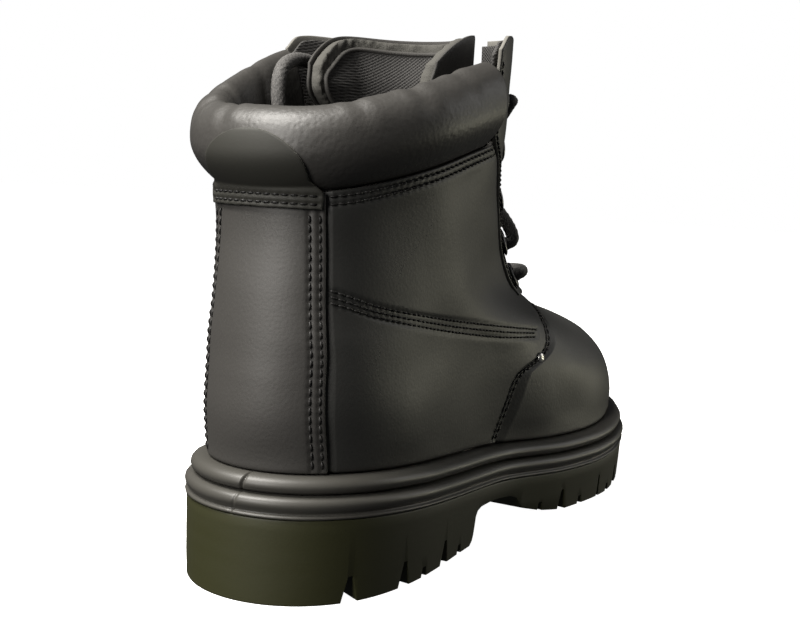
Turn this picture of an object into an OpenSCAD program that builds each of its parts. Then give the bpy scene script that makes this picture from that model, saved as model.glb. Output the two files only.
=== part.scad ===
// Steel toe work boot, right foot, about EU 42, in millimetres.
// The origin is on the ground under the middle of the heel: +X to the toe, +Y to the inner side, +Z up.
// Every panel lies on one skin, the outside of the upper, at its own distance in or out of it.

/* [Leather] */
// Thickness of the upper leather
leather_t = 1.8; // [1.4:0.1:2.0]
// Thickness of the linings
lining_t = 1.4; // [0.8:0.1:1.5]
// Thickness of the steel toe cap
cap_t = 1.8; // [1.2:0.1:2.0]

/* [Collar] */
// How far the padded roll stands out from the quarter
roll_out = 7; // [4:0.5:9]
// How far the roll stands in from the quarter
roll_in = 9.6; // [8:0.2:11]

/* [Sole] */
// How far the sole's sidewall stands out from the upper
sole_out = 7; // [5:0.5:9]
// Height of the welt bead that the upper stands on
welt_h = 5.8; // [4:0.2:7]
// Height of the midsole bead under the welt
midsole_h = 7.6; // [6:0.2:9]
// Height of the waist's underside above the ground
waist_z = 13; // [10:0.5:15]
// Depth of the tread channels
tread_d = 5; // [3:0.5:6]

/* [Lacing] */
// Diameter of the round lace
lace_d = 5.5; // [4:0.5:5.5]
// Outside diameter of an eyelet's flange
eyelet_d = 12; // [10:0.5:13]

/* [Hidden] */
$fn = 48;

// Heights of the skin's level lines, and the back and front of the boot on each one.
level_z = [30, 45, 60, 72, 80, 88, 100, 120, 145, 170, 200];
back_x = [-34, -35, -37, -37, -36.5, -36, -35, -33, -33, -35, -37];
front_x = [247, 249, 244, 230, 205, 174, 150, 125, 106, 98, 93];
// Half widths by height (rows) and by the share of the length from back to front (columns).
share = [0, 0.15, 0.3, 0.45, 0.6, 0.75, 0.9, 1];
width_z = [30, 60, 80, 100, 130, 165, 200];
outer_half = [
    [64, 48, 37, 34, 45, 58, 68, 74], [64, 50, 38, 35, 44, 54, 62, 66],
    [60, 47, 38, 35, 38, 42, 44, 44], [50, 42, 38, 36, 33, 31, 34, 38],
    [46, 41, 39, 38, 37, 38, 41, 45], [48, 44, 43, 42, 43, 46, 50, 52],
    [50, 46, 45, 45, 47, 50, 54, 56]
];
inner_half = [
    [64, 47, 34, 29, 38, 54, 68, 74], [64, 49, 36, 31, 39, 52, 62, 66],
    [60, 47, 38, 35, 38, 42, 44, 44], [52, 44, 40, 37, 34, 32, 34, 38],
    [51, 48, 44, 41, 39, 39, 42, 46], [54, 51, 48, 46, 47, 49, 52, 54],
    [55, 52, 50, 49, 51, 54, 57, 58]
];

// A smooth curve through a few points, flat outside them.
function clamp(lo, at, hi) = min(max(at, lo), hi);
function span(xs, x, i = 0) = i >= len(xs) - 2 || x < xs[i + 1] ? i : span(xs, x, i + 1);
function slope(xs, ys, i) =
    let (a = max(i - 1, 0), b = min(i + 1, len(xs) - 1))
    (ys[b] - ys[a]) / (xs[b] - xs[a]);
function curve(xs, ys, at) =
    let (
        x = clamp(xs[0], at, xs[len(xs) - 1]),
        i = span(xs, x),
        h = xs[i + 1] - xs[i],
        t = (x - xs[i]) / h
    )
    (1 + 2 * t) * (1 - t) ^ 2 * ys[i] + t * t * (3 - 2 * t) * ys[i + 1]
    + h * t * (1 - t) * ((1 - t) * slope(xs, ys, i) - t * slope(xs, ys, i + 1));

// The skin: turn is 0 at the heel, 180 at the toe, positive on the inner side.
function skin(turn, z) =
    let (
        s = (1 - cos(turn)) / 2,
        table = sin(turn) > 0 ? inner_half : outer_half,
        half = curve(width_z, [for (row = table) curve(share, row, s)], z),
        back = curve(level_z, back_x, z),
        front = curve(level_z, front_x, z)
    )
    [back + (front - back) * s, sin(turn) * half, z];
function unit(v) = v / norm(v);
function outward(turn, z) =
    unit(cross(skin(turn, z + 0.2) - skin(turn, z - 0.2), skin(turn + 0.3, z) - skin(turn - 0.3, z)));
function flat_outward(turn, z) =
    let (along = skin(turn + 0.3, z) - skin(turn - 0.3, z))
    unit([-along[1], along[0], 0]);
function on_skin(turn, z, off) = skin(turn, z) + off * outward(turn, z);

// Lines drawn on the skin: heights along X, and turns up Z.
function feather(x) = curve(
    [-45, -20, 10, 50, 100, 135, 170, 210, 255],
    [43, 42.5, 40.5, 37, 33.5, 31.5, 31.5, 34, 39], x);
function collar_seam(x) = curve([-35, -16, 18, 40, 72], [133, 136.6, 144.8, 150.4, 157.5], x);
function crest(turn, x) =
    curve([-35, -22, -8, 15, 59, 90], [161, 163, 167, 174, 186, 192], x)
    + (turn > 0 ? curve([0, 40, 90], [0, 4, 5], x) : 0);
function front_edge(z) =
    curve([30, 51, 62, 68, 82, 89, 102, 114, 145, 200], [84, 89, 93, 101, 120, 143, 154, 156, 156, 156], z);
function eyestay_width(z) =
    curve([92, 104, 130, 137, 150, 158, 168], [17.6, 20, 20.5, 24, 35, 44.5, 47.5], z);
function quarter_edge(z) = front_edge(z) - curve([91, 96], [0, 1], z) * max(eyestay_width(z) - 6, 17.2);
function tuck(z) = min(6, eyestay_width(z) - 17.2);
function backstay_edge(z) = curve([40, 70, 100, 135], [24, 24, 27.5, 27], z);
function throat_half(z) = 180 - front_edge(z);
collar_end = 107;

// Solves z on one turn so that it is share v of the way from line lo to line hi.
function settle(turn, z, v, lo, hi, n = 6) =
    let (x = skin(turn, z)[0])
    n == 0 ? z : settle(turn, lo(x) + v * (hi(x) - lo(x)), v, lo, hi, n - 1);

// A closed shell between two matching grids; the cells listed in gaps are left open.
module shell(outer, inner, gaps = []) {
    n = len(outer) - 1;
    m = len(outer[0]) - 1;
    w = m + 1;
    b = (n + 1) * w;
    function open(i, j) = i < 0 || j < 0 || i >= n || j >= m || len([for (g = gaps) if (g == [i, j]) 1]) > 0;
    function quad(p) = [[p[0], p[1], p[2]], [p[0], p[2], p[3]]];
    function id(i, j) = i * w + j;
    faces = [
        for (i = [0:n - 1]) for (j = [0:m - 1]) if (!open(i, j)) each concat(
            quad([id(i, j), id(i + 1, j), id(i + 1, j + 1), id(i, j + 1)]),
            quad([b + id(i, j), b + id(i, j + 1), b + id(i + 1, j + 1), b + id(i + 1, j)]),
            open(i, j - 1) ? quad([id(i + 1, j), id(i, j), b + id(i, j), b + id(i + 1, j)]) : [],
            open(i, j + 1)
                ? quad([id(i, j + 1), id(i + 1, j + 1), b + id(i + 1, j + 1), b + id(i, j + 1)])
                : [],
            open(i - 1, j) ? quad([id(i, j), id(i, j + 1), b + id(i, j + 1), b + id(i, j)]) : [],
            open(i + 1, j)
                ? quad([id(i + 1, j + 1), id(i + 1, j), b + id(i + 1, j), b + id(i + 1, j + 1)])
                : []
        )
    ];
    polyhedron(concat([for (row = outer) each row], [for (row = inner) each row]), faces);
}

// A closed bar through a list of rings, each closed with a fan.
module bar(rings) {
    n = len(rings) - 1;
    m = len(rings[0]);
    function mean(ring) = [for (p = ring) 1] * ring / m;
    sides = [
        for (k = [0:n - 1]) for (i = [0:m - 1])
            let (a = k * m + i, c = k * m + (i + 1) % m) each [[a, c, c + m], [a, c + m, a + m]]
    ];
    first = [for (i = [0:m - 1]) [(n + 1) * m, (i + 1) % m, i]];
    last = [for (i = [0:m - 1]) [(n + 1) * m + 1, n * m + i, n * m + (i + 1) % m]];
    points = concat([for (ring = rings) each ring], [mean(rings[0]), mean(rings[n])]);
    polyhedron(points, concat(sides, first, last));
}

// A round cord swept along its points.
module cord(path, d, sides = 8) {
    n = len(path) - 1;
    function tangent(k) = unit(path[min(k + 1, n)] - path[max(k - 1, 0)]);
    function square_to(v, t) = unit(v - (v * t) * t);
    sideways = [
        for (
            k = 0, s = square_to([0.3, 0.2, 1], tangent(0));
            k <= n;
            k = k + 1, s = square_to(s, tangent(min(k, n)))
        )
            s
    ];
    angles = [for (i = [0:sides - 1]) 360 * i / sides];
    bar([
        for (k = [0:n]) let (s = sideways[k], c = cross(s, tangent(k)))
            [for (a = angles) path[k] + d / 2 * (cos(a) * s + sin(a) * c)]
    ]);
}

// A panel: turn(u, z) places its columns, lo(x) and hi(x) bound its rows, off(u, z) is its outer face.
module panel(us, vs, turn, lo, hi, off, t) {
    spots = [
        for (u = us) [for (v = vs) let (z = place(u, 90, v, turn, lo, hi)) [turn(u, z), z, off(u, z)]]
    ];
    function place(u, z, v, turn, lo, hi, n = 7) =
        let (x = skin(turn(u, z), z)[0])
        n == 0 ? z : place(u, lo(x) + v * (hi(x) - lo(x)), v, turn, lo, hi, n - 1);
    shell(
        [for (col = spots) [for (p = col) on_skin(p[0], p[1], p[2])]],
        [for (col = spots) [for (p = col) on_skin(p[0], p[1], p[2] - t)]]
    );
}
function steps(a, b, n) = [for (i = [0:n]) a + (b - a) * i / n];

// The sole's plan, standing out from the skin by off, and a layer of it between two lines under the feather.
module plan(off) {
    polygon([for (turn = [0:6:354]) let (p = skin(turn, 38) + off * flat_outward(turn, 38)) [p[0], p[1]]]);
}
module between(low, high) {
    xs = [for (x = [-50:12:274]) x];
    rotate([90, 0, 0])
        linear_extrude(160, center = true)
            polygon(concat(
                [for (x = xs) [x, feather(x) + low]],
                [for (i = [len(xs) - 1:-1:0]) [xs[i], feather(xs[i]) + high]]
            ));
}
module layer(off, low, high) {
    intersection() {
        linear_extrude(70) plan(off);
        between(low, high);
    }
}

welt_low = -0.4 - welt_h;
midsole_low = welt_low - 0.1 - midsole_h;

// Sole
breast_x = 63;
tread_x = [118, 141, 166, 191, 214];

module tread_line() {
    rotate([90, 0, 0])
        linear_extrude(160, center = true)
            polygon([
                [-60, 0], [breast_x - 2, 0], [breast_x, 4],
                [breast_x + 1, waist_z - 1], [breast_x + 6, waist_z + 1],
                [82, waist_z + 1], [101, waist_z - 1], [103, 6.5], [118, 2.5], [135, 0], [180, 0], [205, 1.5],
                [230, 4.5], [250, 8.5], [275, 16], [275, 60], [-60, 60]
            ]);
}
module wedge_notch(wide, deep, long) {
    rotate([90, 0, 0])
        linear_extrude(long, center = true)
            polygon([[-wide / 2, -1], [wide / 2, -1], [wide / 5, deep], [-wide / 5, deep]]);
}
module tread_cuts() {
    for (side = [-1, 1])
        for (x = [-8, 21, 40])
            translate([x, side * 36, 0]) wedge_notch(6, 8, 26);
    for (side = [-1, 1])
        for (x = tread_x)
            translate([x, side * 42, 0]) wedge_notch(6, tread_d + 3, 44);
    for (x = [for (t = tread_x) t - 12])
        translate([x, 0, tread_d / 2]) cube([5, 30, tread_d + 4], center = true);
    for (x = [25, 45])
        translate([x, 0, 2]) cube([4, 34, 6], center = true);
}
module outsole() {
    color("#3a3b33")
        difference() {
            intersection() {
                linear_extrude(60) plan(sole_out);
                between(-60, midsole_low - 0.1);
                tread_line();
            }
            tread_cuts();
        }
}
module midsole() {
    color("#45463d")
        difference() {
            layer(sole_out + 1, midsole_low, welt_low - 0.1);
            shank_space(0.3);
        }
}
module welt() {
    color("#4b4c43")
        difference() {
            layer(sole_out - 0.5, welt_low, -0.4);
            linear_extrude(70) plan(-6);
            translate([-40, -2, 40]) cube([20, 0.8, 20], center = true);
        }
}
module shank_space(gap) {
    intersection() {
        translate([20 - gap, -11 - gap, 0]) cube([110 + 2 * gap, 22 + 2 * gap, 60]);
        between(welt_low - 2.4 - gap, welt_low - 0.2 + gap);
    }
}
module shank() {
    color("#8d9095") shank_space(0);
}
module insole_board() {
    color("#8a7a5c") layer(-6.8, welt_low + 0.1, welt_low + 2.3);
}
module footbed() {
    color("#2f3133") layer(-11, welt_low + 2.8, welt_low + 7.6);
}

// Upper
foot_rows = [0, 0.12, 0.28, 0.45, 0.6, 0.7, 0.78, 0.84, 0.89, 0.93, 0.97, 1];
bottom = function (x) feather(x) + 0.1;
collar_line = function (x) collar_seam(x);

// Columns past 1 are the vamp's margin under the quarters.
module vamp() {
    margin = [0, -2.4, -0.6, 4, 9];
    color("#3b3b3c")
        panel(
            [-4, -3, -2, each steps(-1, 1, 18), 2, 3, 4], foot_rows,
            function (u, z)
                180 + (abs(u) > 1
                    ? sign(u) * (throat_half(z) + margin[abs(u)])
                    : u * (throat_half(z) + margin[1])),
            bottom, function (x) 92.5,
            function (u, z) abs(u) > 1 ? -2.4 : -0.3, leather_t
        );
}
// Columns 0 to 2 of a quarter lie under the backstay, and the last two under the eyestay.
module quarter(side) {
    last = 15;
    turn = function (c, z)
        let (from = backstay_edge(z) + 2.5, to = quarter_edge(z), seen = to - tuck(z) - 2.5)
        side * (c < 3 ? 1.2 + (from - 3.4) * c / 2
            : c < last - 1 ? from + (seen - from) * (c - 3) / (last - 5)
            : c < last ? seen + 2.2
            : to);
    color("#3a3b3c")
        panel(
            side > 0 ? [0:last] : [last:-1:0], steps(0, 1, 13), turn, bottom, collar_line,
            function (c, z) c < 3 || (c > last - 2 && z > 88) ? -1.2 : 0, leather_t
        );
}
module quarter_lateral() { quarter(-1); }
module quarter_medial() { quarter(1); }
module backstay() {
    color("#403f3e")
        panel(
            steps(-1, 1, 8), steps(0, 1, 9),
            function (u, z) u * backstay_edge(z),
            bottom, function (x) 134.4, function (u, z) leather_t / 2, leather_t - 0.2
        );
}

// The eyestays carry the eyelets; the lining behind each one has the same holes.
eyelet_z = [101, 116, 135, 155, 174];
hole_half = [2.7, 2.9, 3.6, 4, 4.1];
eyelet_back = 11;
top_slope = [8, 2.5, 1, 0];
module eyestay(side, off, t, bottom_z, top_z, trim) {
    holes = [for (k = [0:4]) each [eyelet_z[k] - hole_half[k], eyelet_z[k] + hole_half[k]]];
    wide = function (z) eyestay_width(z) - trim * curve([158, 164], [8, 0.5], z);
    turn = function (c, z) side * (front_edge(z) - [max(wide(z), 17.5), 15.3, 6.7, 0][c]);
    spots = [
        for (c = side > 0 ? [0:3] : [3:-1:0])
            [for (z = concat([bottom_z], holes, [top_z - top_slope[c]])) [turn(c, z), z]]
    ];
    shell(
        [for (col = spots) [for (p = col) on_skin(p[0], p[1], off)]],
        [for (col = spots) [for (p = col) on_skin(p[0], p[1], off - t)]],
        [for (k = [0:4]) [1, 2 * k + 1]]
    );
}
module eyestay_lateral() { color("#3a3a3b") eyestay(-1, 1.2, leather_t, 93, 197, 0); }
module eyestay_medial() { color("#3a3a3b") eyestay(1, 1.2, leather_t, 93, 198, 0); }
module eyestay_lining_lateral() { color("#26282b") eyestay(-1, -1.8, lining_t, 96.5, 195, 1); }
module eyestay_lining_medial() { color("#26282b") eyestay(1, -1.8, lining_t, 96.5, 196, 1); }

// Collar roll: distance from the skin and height from the seam (0) to the crest (1).
roll = [
    [-2.9, -0.2], [-2.9, -0.02], [0.5, 0.06], [roll_out * 0.6, 0.2], [roll_out * 0.92, 0.35], [roll_out, 0.5],
    [roll_out * 0.86, 0.7], [roll_out * 0.5, 0.86], [0, 0.96], [-3.5, 1], [-6.5, 0.95], [1 - roll_in, 0.83],
    [-roll_in, 0.6], [-roll_in, 0.3], [0.4 - roll_in, 0], [0.8 - roll_in, -0.3]
];
function roll_foot(turn) =
    let (z = settle(turn, 140, 0, collar_line, collar_line), x = skin(turn, z)[0])
    [z, crest(turn, x) - z];
function roll_point(turn, base, off, h) =
    let (z = base[0] + h * base[1]) skin(turn, z) + off * flat_outward(turn, base[0]);
function roll_ring(turn, inset) =
    let (
        base = roll_foot(turn),
        flat = [for (q = roll) [q[0], q[1] * base[1]]],
        last = len(flat) - 1,
        moved = [
            for (i = [0:last]) let (d = unit(flat[min(i + 1, last)] - flat[max(i - 1, 0)]))
                [flat[i][0] - inset * d[1], flat[i][1] + inset * d[0]]
        ]
    )
    [for (q = moved) roll_point(turn, base, q[0], q[1] / base[1])];
collar_turns = steps(-collar_end, collar_end, 36);
function outset(h) = curve([for (i = [1:8]) roll[i][1]], [for (i = [1:8]) roll[i][0]], h);

module collar_cover() {
    color("#3c3b3a")
        shell([for (a = collar_turns) roll_ring(a, 0)], [for (a = collar_turns) roll_ring(a, lining_t)]);
}
module collar_foam() {
    color("#2a2a2c")
        bar([for (a = collar_turns) let (r = roll_ring(a, lining_t + 0.3)) [for (i = [14:-1:2]) r[i]]]);
}
module heel_tab() {
    half = 25;
    tall = 18.5;
    rows = [for (a = [0, 18, 36, 54, 68, 80, 86]) [135 + tall * sin(a), half * cos(a)]];
    function spot(u, row, off) =
        let (turn = u * row[1], base = roll_foot(turn))
        roll_point(turn, base, outset((row[0] - base[0]) / base[1]) + off, (row[0] - base[0]) / base[1]);
    color("#474541")
        shell(
            [for (u = steps(-1, 1, 10)) [for (row = rows) spot(u, row, 1.9)]],
            [for (u = steps(-1, 1, 10)) [for (row = rows) spot(u, row, 0.5)]]
        );
}

// Tongue: lies inside the eyestays, lowest in the throat and widest at the top.
function tongue_off(turn) =
    -curve([0, 20, 32, 48, 60, 75, 90], [7.8, 10.2, 11.8, 13.4, 15.6, 17.5, 18.5], abs(180 - turn));
module tongue_layer(off, t, trim) {
    us = steps(-1, 1, 18);
    wide = function (z) curve([92, 104, 120, 150, 168, 181], [20, 30, 42, 62, 86, 84], z) - trim;
    top = function (u) 198 - trim - 17 * abs(u) ^ 4;
    rows = steps(0, 1, 14);
    spots = [
        for (u = us)
            [for (v = rows) let (z = 94 + trim + v * (top(u) - 94 - trim)) [180 + u * wide(z), z]]
    ];
    shell(
        [for (col = spots) [for (p = col) on_skin(p[0], p[1], tongue_off(p[0]) + off)]],
        [for (col = spots) [for (p = col) on_skin(p[0], p[1], tongue_off(p[0]) + off - t)]]
    );
}
module tongue_cover() { color("#333335") tongue_layer(0, lining_t, 0); }
module tongue_padding() { color("#4a4a4c") tongue_layer(-lining_t - 0.2, 5, 1.5); }

// Inside
module vamp_lining() {
    color("#55504a")
        panel(
            steps(-1, 1, 22), foot_rows,
            function (u, z) 180 + u * (throat_half(min(z, 88)) + 12),
            bottom, function (x) 90, function (u, z) -6.9, lining_t
        );
}
module quarter_lining() {
    color("#4f4b45")
        panel(
            steps(-1, 1, 28), steps(0, 1, 10),
            function (u, z) u * (z < 90 ? front_edge(z) - 15 : quarter_edge(z) - curve([90, 96], [15, 4], z)),
            bottom, function (x) collar_seam(x) - 3, function (u, z) -5.3, lining_t
        );
}
module toe_cap() {
    color("#9a9da1")
        panel(
            steps(-1, 1, 16), [0, 0.15, 0.35, 0.55, 0.72, 0.84, 0.92, 0.97, 1],
            function (u, z) 180 + u * curve([34, 50, 66, 76, 82.5], [54, 53, 50, 40, 22], z),
            function (x) feather(x) + 0.6, function (x) 82.5, function (u, z) -4.4, cap_t
        );
}
module toe_cap_trim() {
    edge = function (u, z) 180 - u * curve([34, 50, 66, 76, 82.5], [54, 53, 50, 40, 22], z);
    color("#1f1f1f")
        for (side = [-1, 1])
            panel(
                side > 0 ? [1.09, 1.02] : [-1.02, -1.09], [0, 0.2, 0.4, 0.6, 0.8, 0.95], edge,
                function (x) feather(x) + 0.6, function (x) 82.5, function (u, z) -4.4, cap_t
            );
}
module heel_counter() {
    color("#b3a68c")
        panel(
            steps(-1, 1, 14), steps(0, 1, 6), function (u, z) u * 58,
            function (x) feather(x) + 0.6, function (x) 84, function (u, z) -3.6, lining_t
        );
}

// Eyelets, rivets and the lace
module square_on(turn, z) {
    n = outward(turn, z);
    translate(skin(turn, z))
        rotate([0, acos(n[2]), atan2(n[1], n[0])])
            children();
}
module eyelets(side) {
    color("#2b2b2d")
        for (z = eyelet_z)
            square_on(side * (front_edge(z) - eyelet_back), z)
                rotate_extrude()
                    polygon([
                        [lace_d / 2 + 0.35, -4], [lace_d / 2 + 0.75, -4], [lace_d / 2 + 0.75, 1.6],
                        [eyelet_d / 2, 1.6], [eyelet_d / 2 - 0.6, 2.4], [lace_d / 2 + 0.35, 2.4]
                    ]);
}
module eyelets_lateral() { eyelets(-1); }
module eyelets_medial() { eyelets(1); }
module tip_rivet(side) {
    color("#c9c9c6")
        square_on(side * (front_edge(68) - 1.5), 68)
            translate([0, 0, 0.2])
                cylinder(d = 4.6, h = 0.9);
}
module tip_rivet_lateral() { tip_rivet(-1); }
module tip_rivet_medial() { tip_rivet(1); }

// Lace route as turn, height and distance from the skin. It crosses under the eyestays from the first
// pair of eyelets to the second, and then over the tongue to the top pair; the two pairs between are free.
through_in = -7;
through_out = 5.7;
function hole(side, k, off) = [side * (front_edge(eyelet_z[k]) - eyelet_back), eyelet_z[k], off];
function rise(k, m, f) = eyelet_z[k] + f * (eyelet_z[m] - eyelet_z[k]);
function edge_of(side, z, off) = [side * (front_edge(z) + 2), z, off];
function middle(side, z, f, off) = [180 - side * 32 * (1 - 2 * f), z, off];
function under(side, mid) = [
    hole(side, 0, through_in), edge_of(side, rise(0, 1, 0.25), -6.6),
    middle(side, rise(0, 1, 0.4), 0.4, (mid - 4) / 2), middle(side, rise(0, 1, 0.5), 0.5, mid),
    middle(side, rise(0, 1, 0.6), 0.6, (mid - 4) / 2), edge_of(-side, rise(0, 1, 0.75), -6.6),
    hole(-side, 1, through_in)
];
function over(side, mid) = [
    hole(side, 1, through_out), edge_of(side, rise(1, 4, 0.19), 5.2),
    middle(side, rise(1, 4, 0.36), 0.36, (mid + 3) / 2), middle(side, rise(1, 4, 0.5), 0.5, mid),
    middle(side, rise(1, 4, 0.64), 0.64, (mid + 3) / 2), edge_of(-side, rise(1, 4, 0.81), 5.2),
    hole(-side, 4, through_out)
];
function strand(side, low) = concat(under(side, low ? -2.2 : 4), over(-side, low ? -1.5 : 4.3));
function laid(route) = [for (p = route) on_skin(((p[0] % 360) + 360) % 360, p[1], p[2])];
bottom_bar = [
    hole(1, 0, through_out), [166, 99, 4.8], [180, 99, 3], [-166, 99, 4.8], hole(-1, 0, through_out)
];
module lace() {
    left = strand(1, true);
    right = strand(-1, false);
    color("#4c4c4e")
        cord(laid(concat([for (i = [len(left) - 1:-1:0]) left[i]], bottom_bar, right)), lace_d);
}

// Loose ends: through the top eyelets and down inside the shaft.
inner_end_route = [
    [0, 0, -7.2], [-6, 1, -7.4], [-14, 3, -8.2], [-24, 6, -9.8], [-33, 8, -12.4],
    [-42, 9, -13.4], [-52, 8, -13.6], [-60, 4, -13.8], [-64, -4, -14],
    [-65, -16, -14.2], [-64, -34, -14.2], [-65, -56, -13.4], [-70, -80, -12.5]
];
outer_end_route = [
    [0, 0, -7.2], [-6, 0, -7.4], [-14, -1, -8.2], [-24, -3, -9.8], [-33, -5, -12.4],
    [-42, -8, -13.4], [-50, -13, -13.6], [-56, -21, -13.8], [-60, -32, -14],
    [-62, -46, -14.2], [-65, -62, -13.6], [-70, -80, -12.5]
];
function lace_end_path(side) = laid([
    for (q = (side > 0 ? inner_end_route : outer_end_route))
        [side * (front_edge(eyelet_z[4]) - eyelet_back + q[0]), eyelet_z[4] + q[1], q[2]]
]);
module lace_end(side) {
    color("#4c4c4e") cord(lace_end_path(side), lace_d);
}
module aglet(side) {
    path = lace_end_path(side);
    tip = path[len(path) - 1];
    down = unit(tip - path[len(path) - 2]);
    color("#1c1c1e") cord([tip + 0.2 * down, tip + 14 * down], lace_d - 1.5);
}
module lace_end_lateral() { lace_end(-1); }
module lace_end_medial() { lace_end(1); }
module aglet_lateral() { aglet(-1); }
module aglet_medial() { aglet(1); }

outsole();
midsole();
welt();
shank();
insole_board();
footbed();
vamp();
quarter_lateral();
quarter_medial();
backstay();
heel_tab();
eyestay_lateral();
eyestay_medial();
eyestay_lining_lateral();
eyestay_lining_medial();
collar_cover();
collar_foam();
tongue_cover();
tongue_padding();
vamp_lining();
quarter_lining();
toe_cap();
toe_cap_trim();
heel_counter();
eyelets_lateral();
eyelets_medial();
tip_rivet_lateral();
tip_rivet_medial();
lace();
lace_end_lateral();
lace_end_medial();
aglet_lateral();
aglet_medial();
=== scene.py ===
"""The looks of a steel toe work boot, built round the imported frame.

Lengths are millimetres up to the moment a mesh is made; the camera, the lamps and the floor are in
metres. turn is the angle round the boot in degrees: 0 at the heel, 180 at the toe, positive on the inner
side. off is the distance out of the upper's skin.
"""
import math

import bmesh
import bpy
import numpy as np
from mathutils import Matrix, Vector


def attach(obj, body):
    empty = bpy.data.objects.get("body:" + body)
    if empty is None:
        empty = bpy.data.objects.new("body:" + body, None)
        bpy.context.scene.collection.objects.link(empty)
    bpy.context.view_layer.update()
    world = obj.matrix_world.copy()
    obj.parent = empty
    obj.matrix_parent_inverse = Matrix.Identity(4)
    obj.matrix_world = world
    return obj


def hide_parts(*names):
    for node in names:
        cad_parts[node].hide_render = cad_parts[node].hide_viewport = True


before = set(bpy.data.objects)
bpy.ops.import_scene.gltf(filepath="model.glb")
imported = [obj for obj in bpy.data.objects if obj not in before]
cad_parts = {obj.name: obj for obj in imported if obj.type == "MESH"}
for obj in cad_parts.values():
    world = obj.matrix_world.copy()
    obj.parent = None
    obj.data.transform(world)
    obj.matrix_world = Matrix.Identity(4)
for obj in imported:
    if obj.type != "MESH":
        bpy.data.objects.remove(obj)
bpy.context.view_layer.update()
MM = 0.001
BOOT, TONGUE, INSOLE = "boot", "tongue", "insole"
LATERAL, MEDIAL = -1, 1
SIDE_NAME = {LATERAL: "lateral", MEDIAL: "medial"}

# ------------------------------------------------------------------------------ driving sizes
LEATHER_T, LINING_T = 1.8, 1.4
LACE_D = 5.5
WELT_LOW = -6.2
MIDSOLE_LOW = -13.9
SOLE_OUT = 7.0
WAIST_Z = 13.0
BREAST_X = 63.0
COLLAR_END = 107.0
COLLAR_ROUND = 3.2  # degrees over which each end of the collar rounds off
STITCH_PITCH = 3.1
PLAN_Z = 38  # the level of the skin that the sole's plan follows
QUARTER_SETBACK = 17.2  # degrees, the least from the front edge back to the quarter's own edge
EYESTAY_LEAST = 17.5  # degrees, the narrowest the eyestay gets
LACE_SPREAD = 32  # degrees from the middle of the front to either end of a crossing

# ------------------------------------------------------------------------------ the skin
LEVEL_Z = [30, 45, 60, 72, 80, 88, 100, 120, 145, 170, 200]
BACK_X = [-34, -35, -37, -37, -36.5, -36, -35, -33, -33, -35, -37]
FRONT_X = [247, 249, 244, 230, 205, 174, 150, 125, 106, 98, 93]
SHARE = [0, 0.15, 0.3, 0.45, 0.6, 0.75, 0.9, 1]
WIDTH_Z = [30, 60, 80, 100, 130, 165, 200]
OUTER_HALF = [
    [64, 48, 37, 34, 45, 58, 68, 74], [64, 50, 38, 35, 44, 54, 62, 66],
    [60, 47, 38, 35, 38, 42, 44, 44], [50, 42, 38, 36, 33, 31, 34, 38],
    [46, 41, 39, 38, 37, 38, 41, 45], [48, 44, 43, 42, 43, 46, 50, 52],
    [50, 46, 45, 45, 47, 50, 54, 56],
]
INNER_HALF = [
    [64, 47, 34, 29, 38, 54, 68, 74], [64, 49, 36, 31, 39, 52, 62, 66],
    [60, 47, 38, 35, 38, 42, 44, 44], [52, 44, 40, 37, 34, 32, 34, 38],
    [51, 48, 44, 41, 39, 39, 42, 46], [54, 51, 48, 46, 47, 49, 52, 54],
    [55, 52, 50, 49, 51, 54, 57, 58],
]


def curve(xs, ys, at):
    """A smooth curve through a few points, flat outside them. A row of ys may be an array."""
    xs = np.asarray(xs, float)
    ys = np.asarray(ys, float)
    at = np.clip(np.asarray(at, float), xs[0], xs[-1])
    i = np.clip(np.searchsorted(xs, at, side="right") - 1, 0, len(xs) - 2)
    before = np.maximum(np.arange(len(xs)) - 1, 0)
    after = np.minimum(np.arange(len(xs)) + 1, len(xs) - 1)
    slopes = ((ys[after] - ys[before]).T / (xs[after] - xs[before])).T

    def pick(rows, k):
        return rows[k] if rows.ndim == 1 else np.take_along_axis(rows, k[None], 0)[0]

    h = xs[i + 1] - xs[i]
    t = (at - xs[i]) / h
    ends = (1 + 2 * t) * (1 - t) ** 2 * pick(ys, i) + t * t * (3 - 2 * t) * pick(ys, i + 1)
    return ends + h * t * (1 - t) * ((1 - t) * pick(slopes, i) - t * pick(slopes, i + 1))


def half_width(table, share, z):
    return curve(WIDTH_Z, np.array([curve(SHARE, row, share) for row in table]), z)


def skin(turn, z):
    """Points on the outside of the upper."""
    turn, z = np.broadcast_arrays(np.asarray(turn, float), np.asarray(z, float))
    angle = np.radians(turn)
    share = (1 - np.cos(angle)) / 2
    half = np.where(np.sin(angle) > 0, half_width(INNER_HALF, share, z), half_width(OUTER_HALF, share, z))
    back = curve(LEVEL_Z, BACK_X, z)
    front = curve(LEVEL_Z, FRONT_X, z)
    return np.stack([back + (front - back) * share, np.sin(angle) * half, z], -1)


def unit(v):
    return v / np.maximum(np.linalg.norm(v, axis=-1, keepdims=True), 1e-12)


def outward(turn, z):
    up = skin(turn, np.asarray(z) + 0.2) - skin(turn, np.asarray(z) - 0.2)
    return unit(np.cross(up, skin(np.asarray(turn) + 0.3, z) - skin(np.asarray(turn) - 0.3, z)))


def flat_outward(turn, z):
    along = skin(np.asarray(turn) + 0.3, z) - skin(np.asarray(turn) - 0.3, z)
    return unit(np.stack([-along[..., 1], along[..., 0], 0 * along[..., 0]], -1))


def on_skin(turn, z, off):
    return skin(turn, z) + np.asarray(off)[..., None] * outward(turn, z)


def degrees_of(length, turn, z):
    """How many degrees of turn a length round the boot takes."""
    step = skin(np.asarray(turn) + 0.5, z) - skin(np.asarray(turn) - 0.5, z)
    return length / np.linalg.norm(step, axis=-1)


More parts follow.
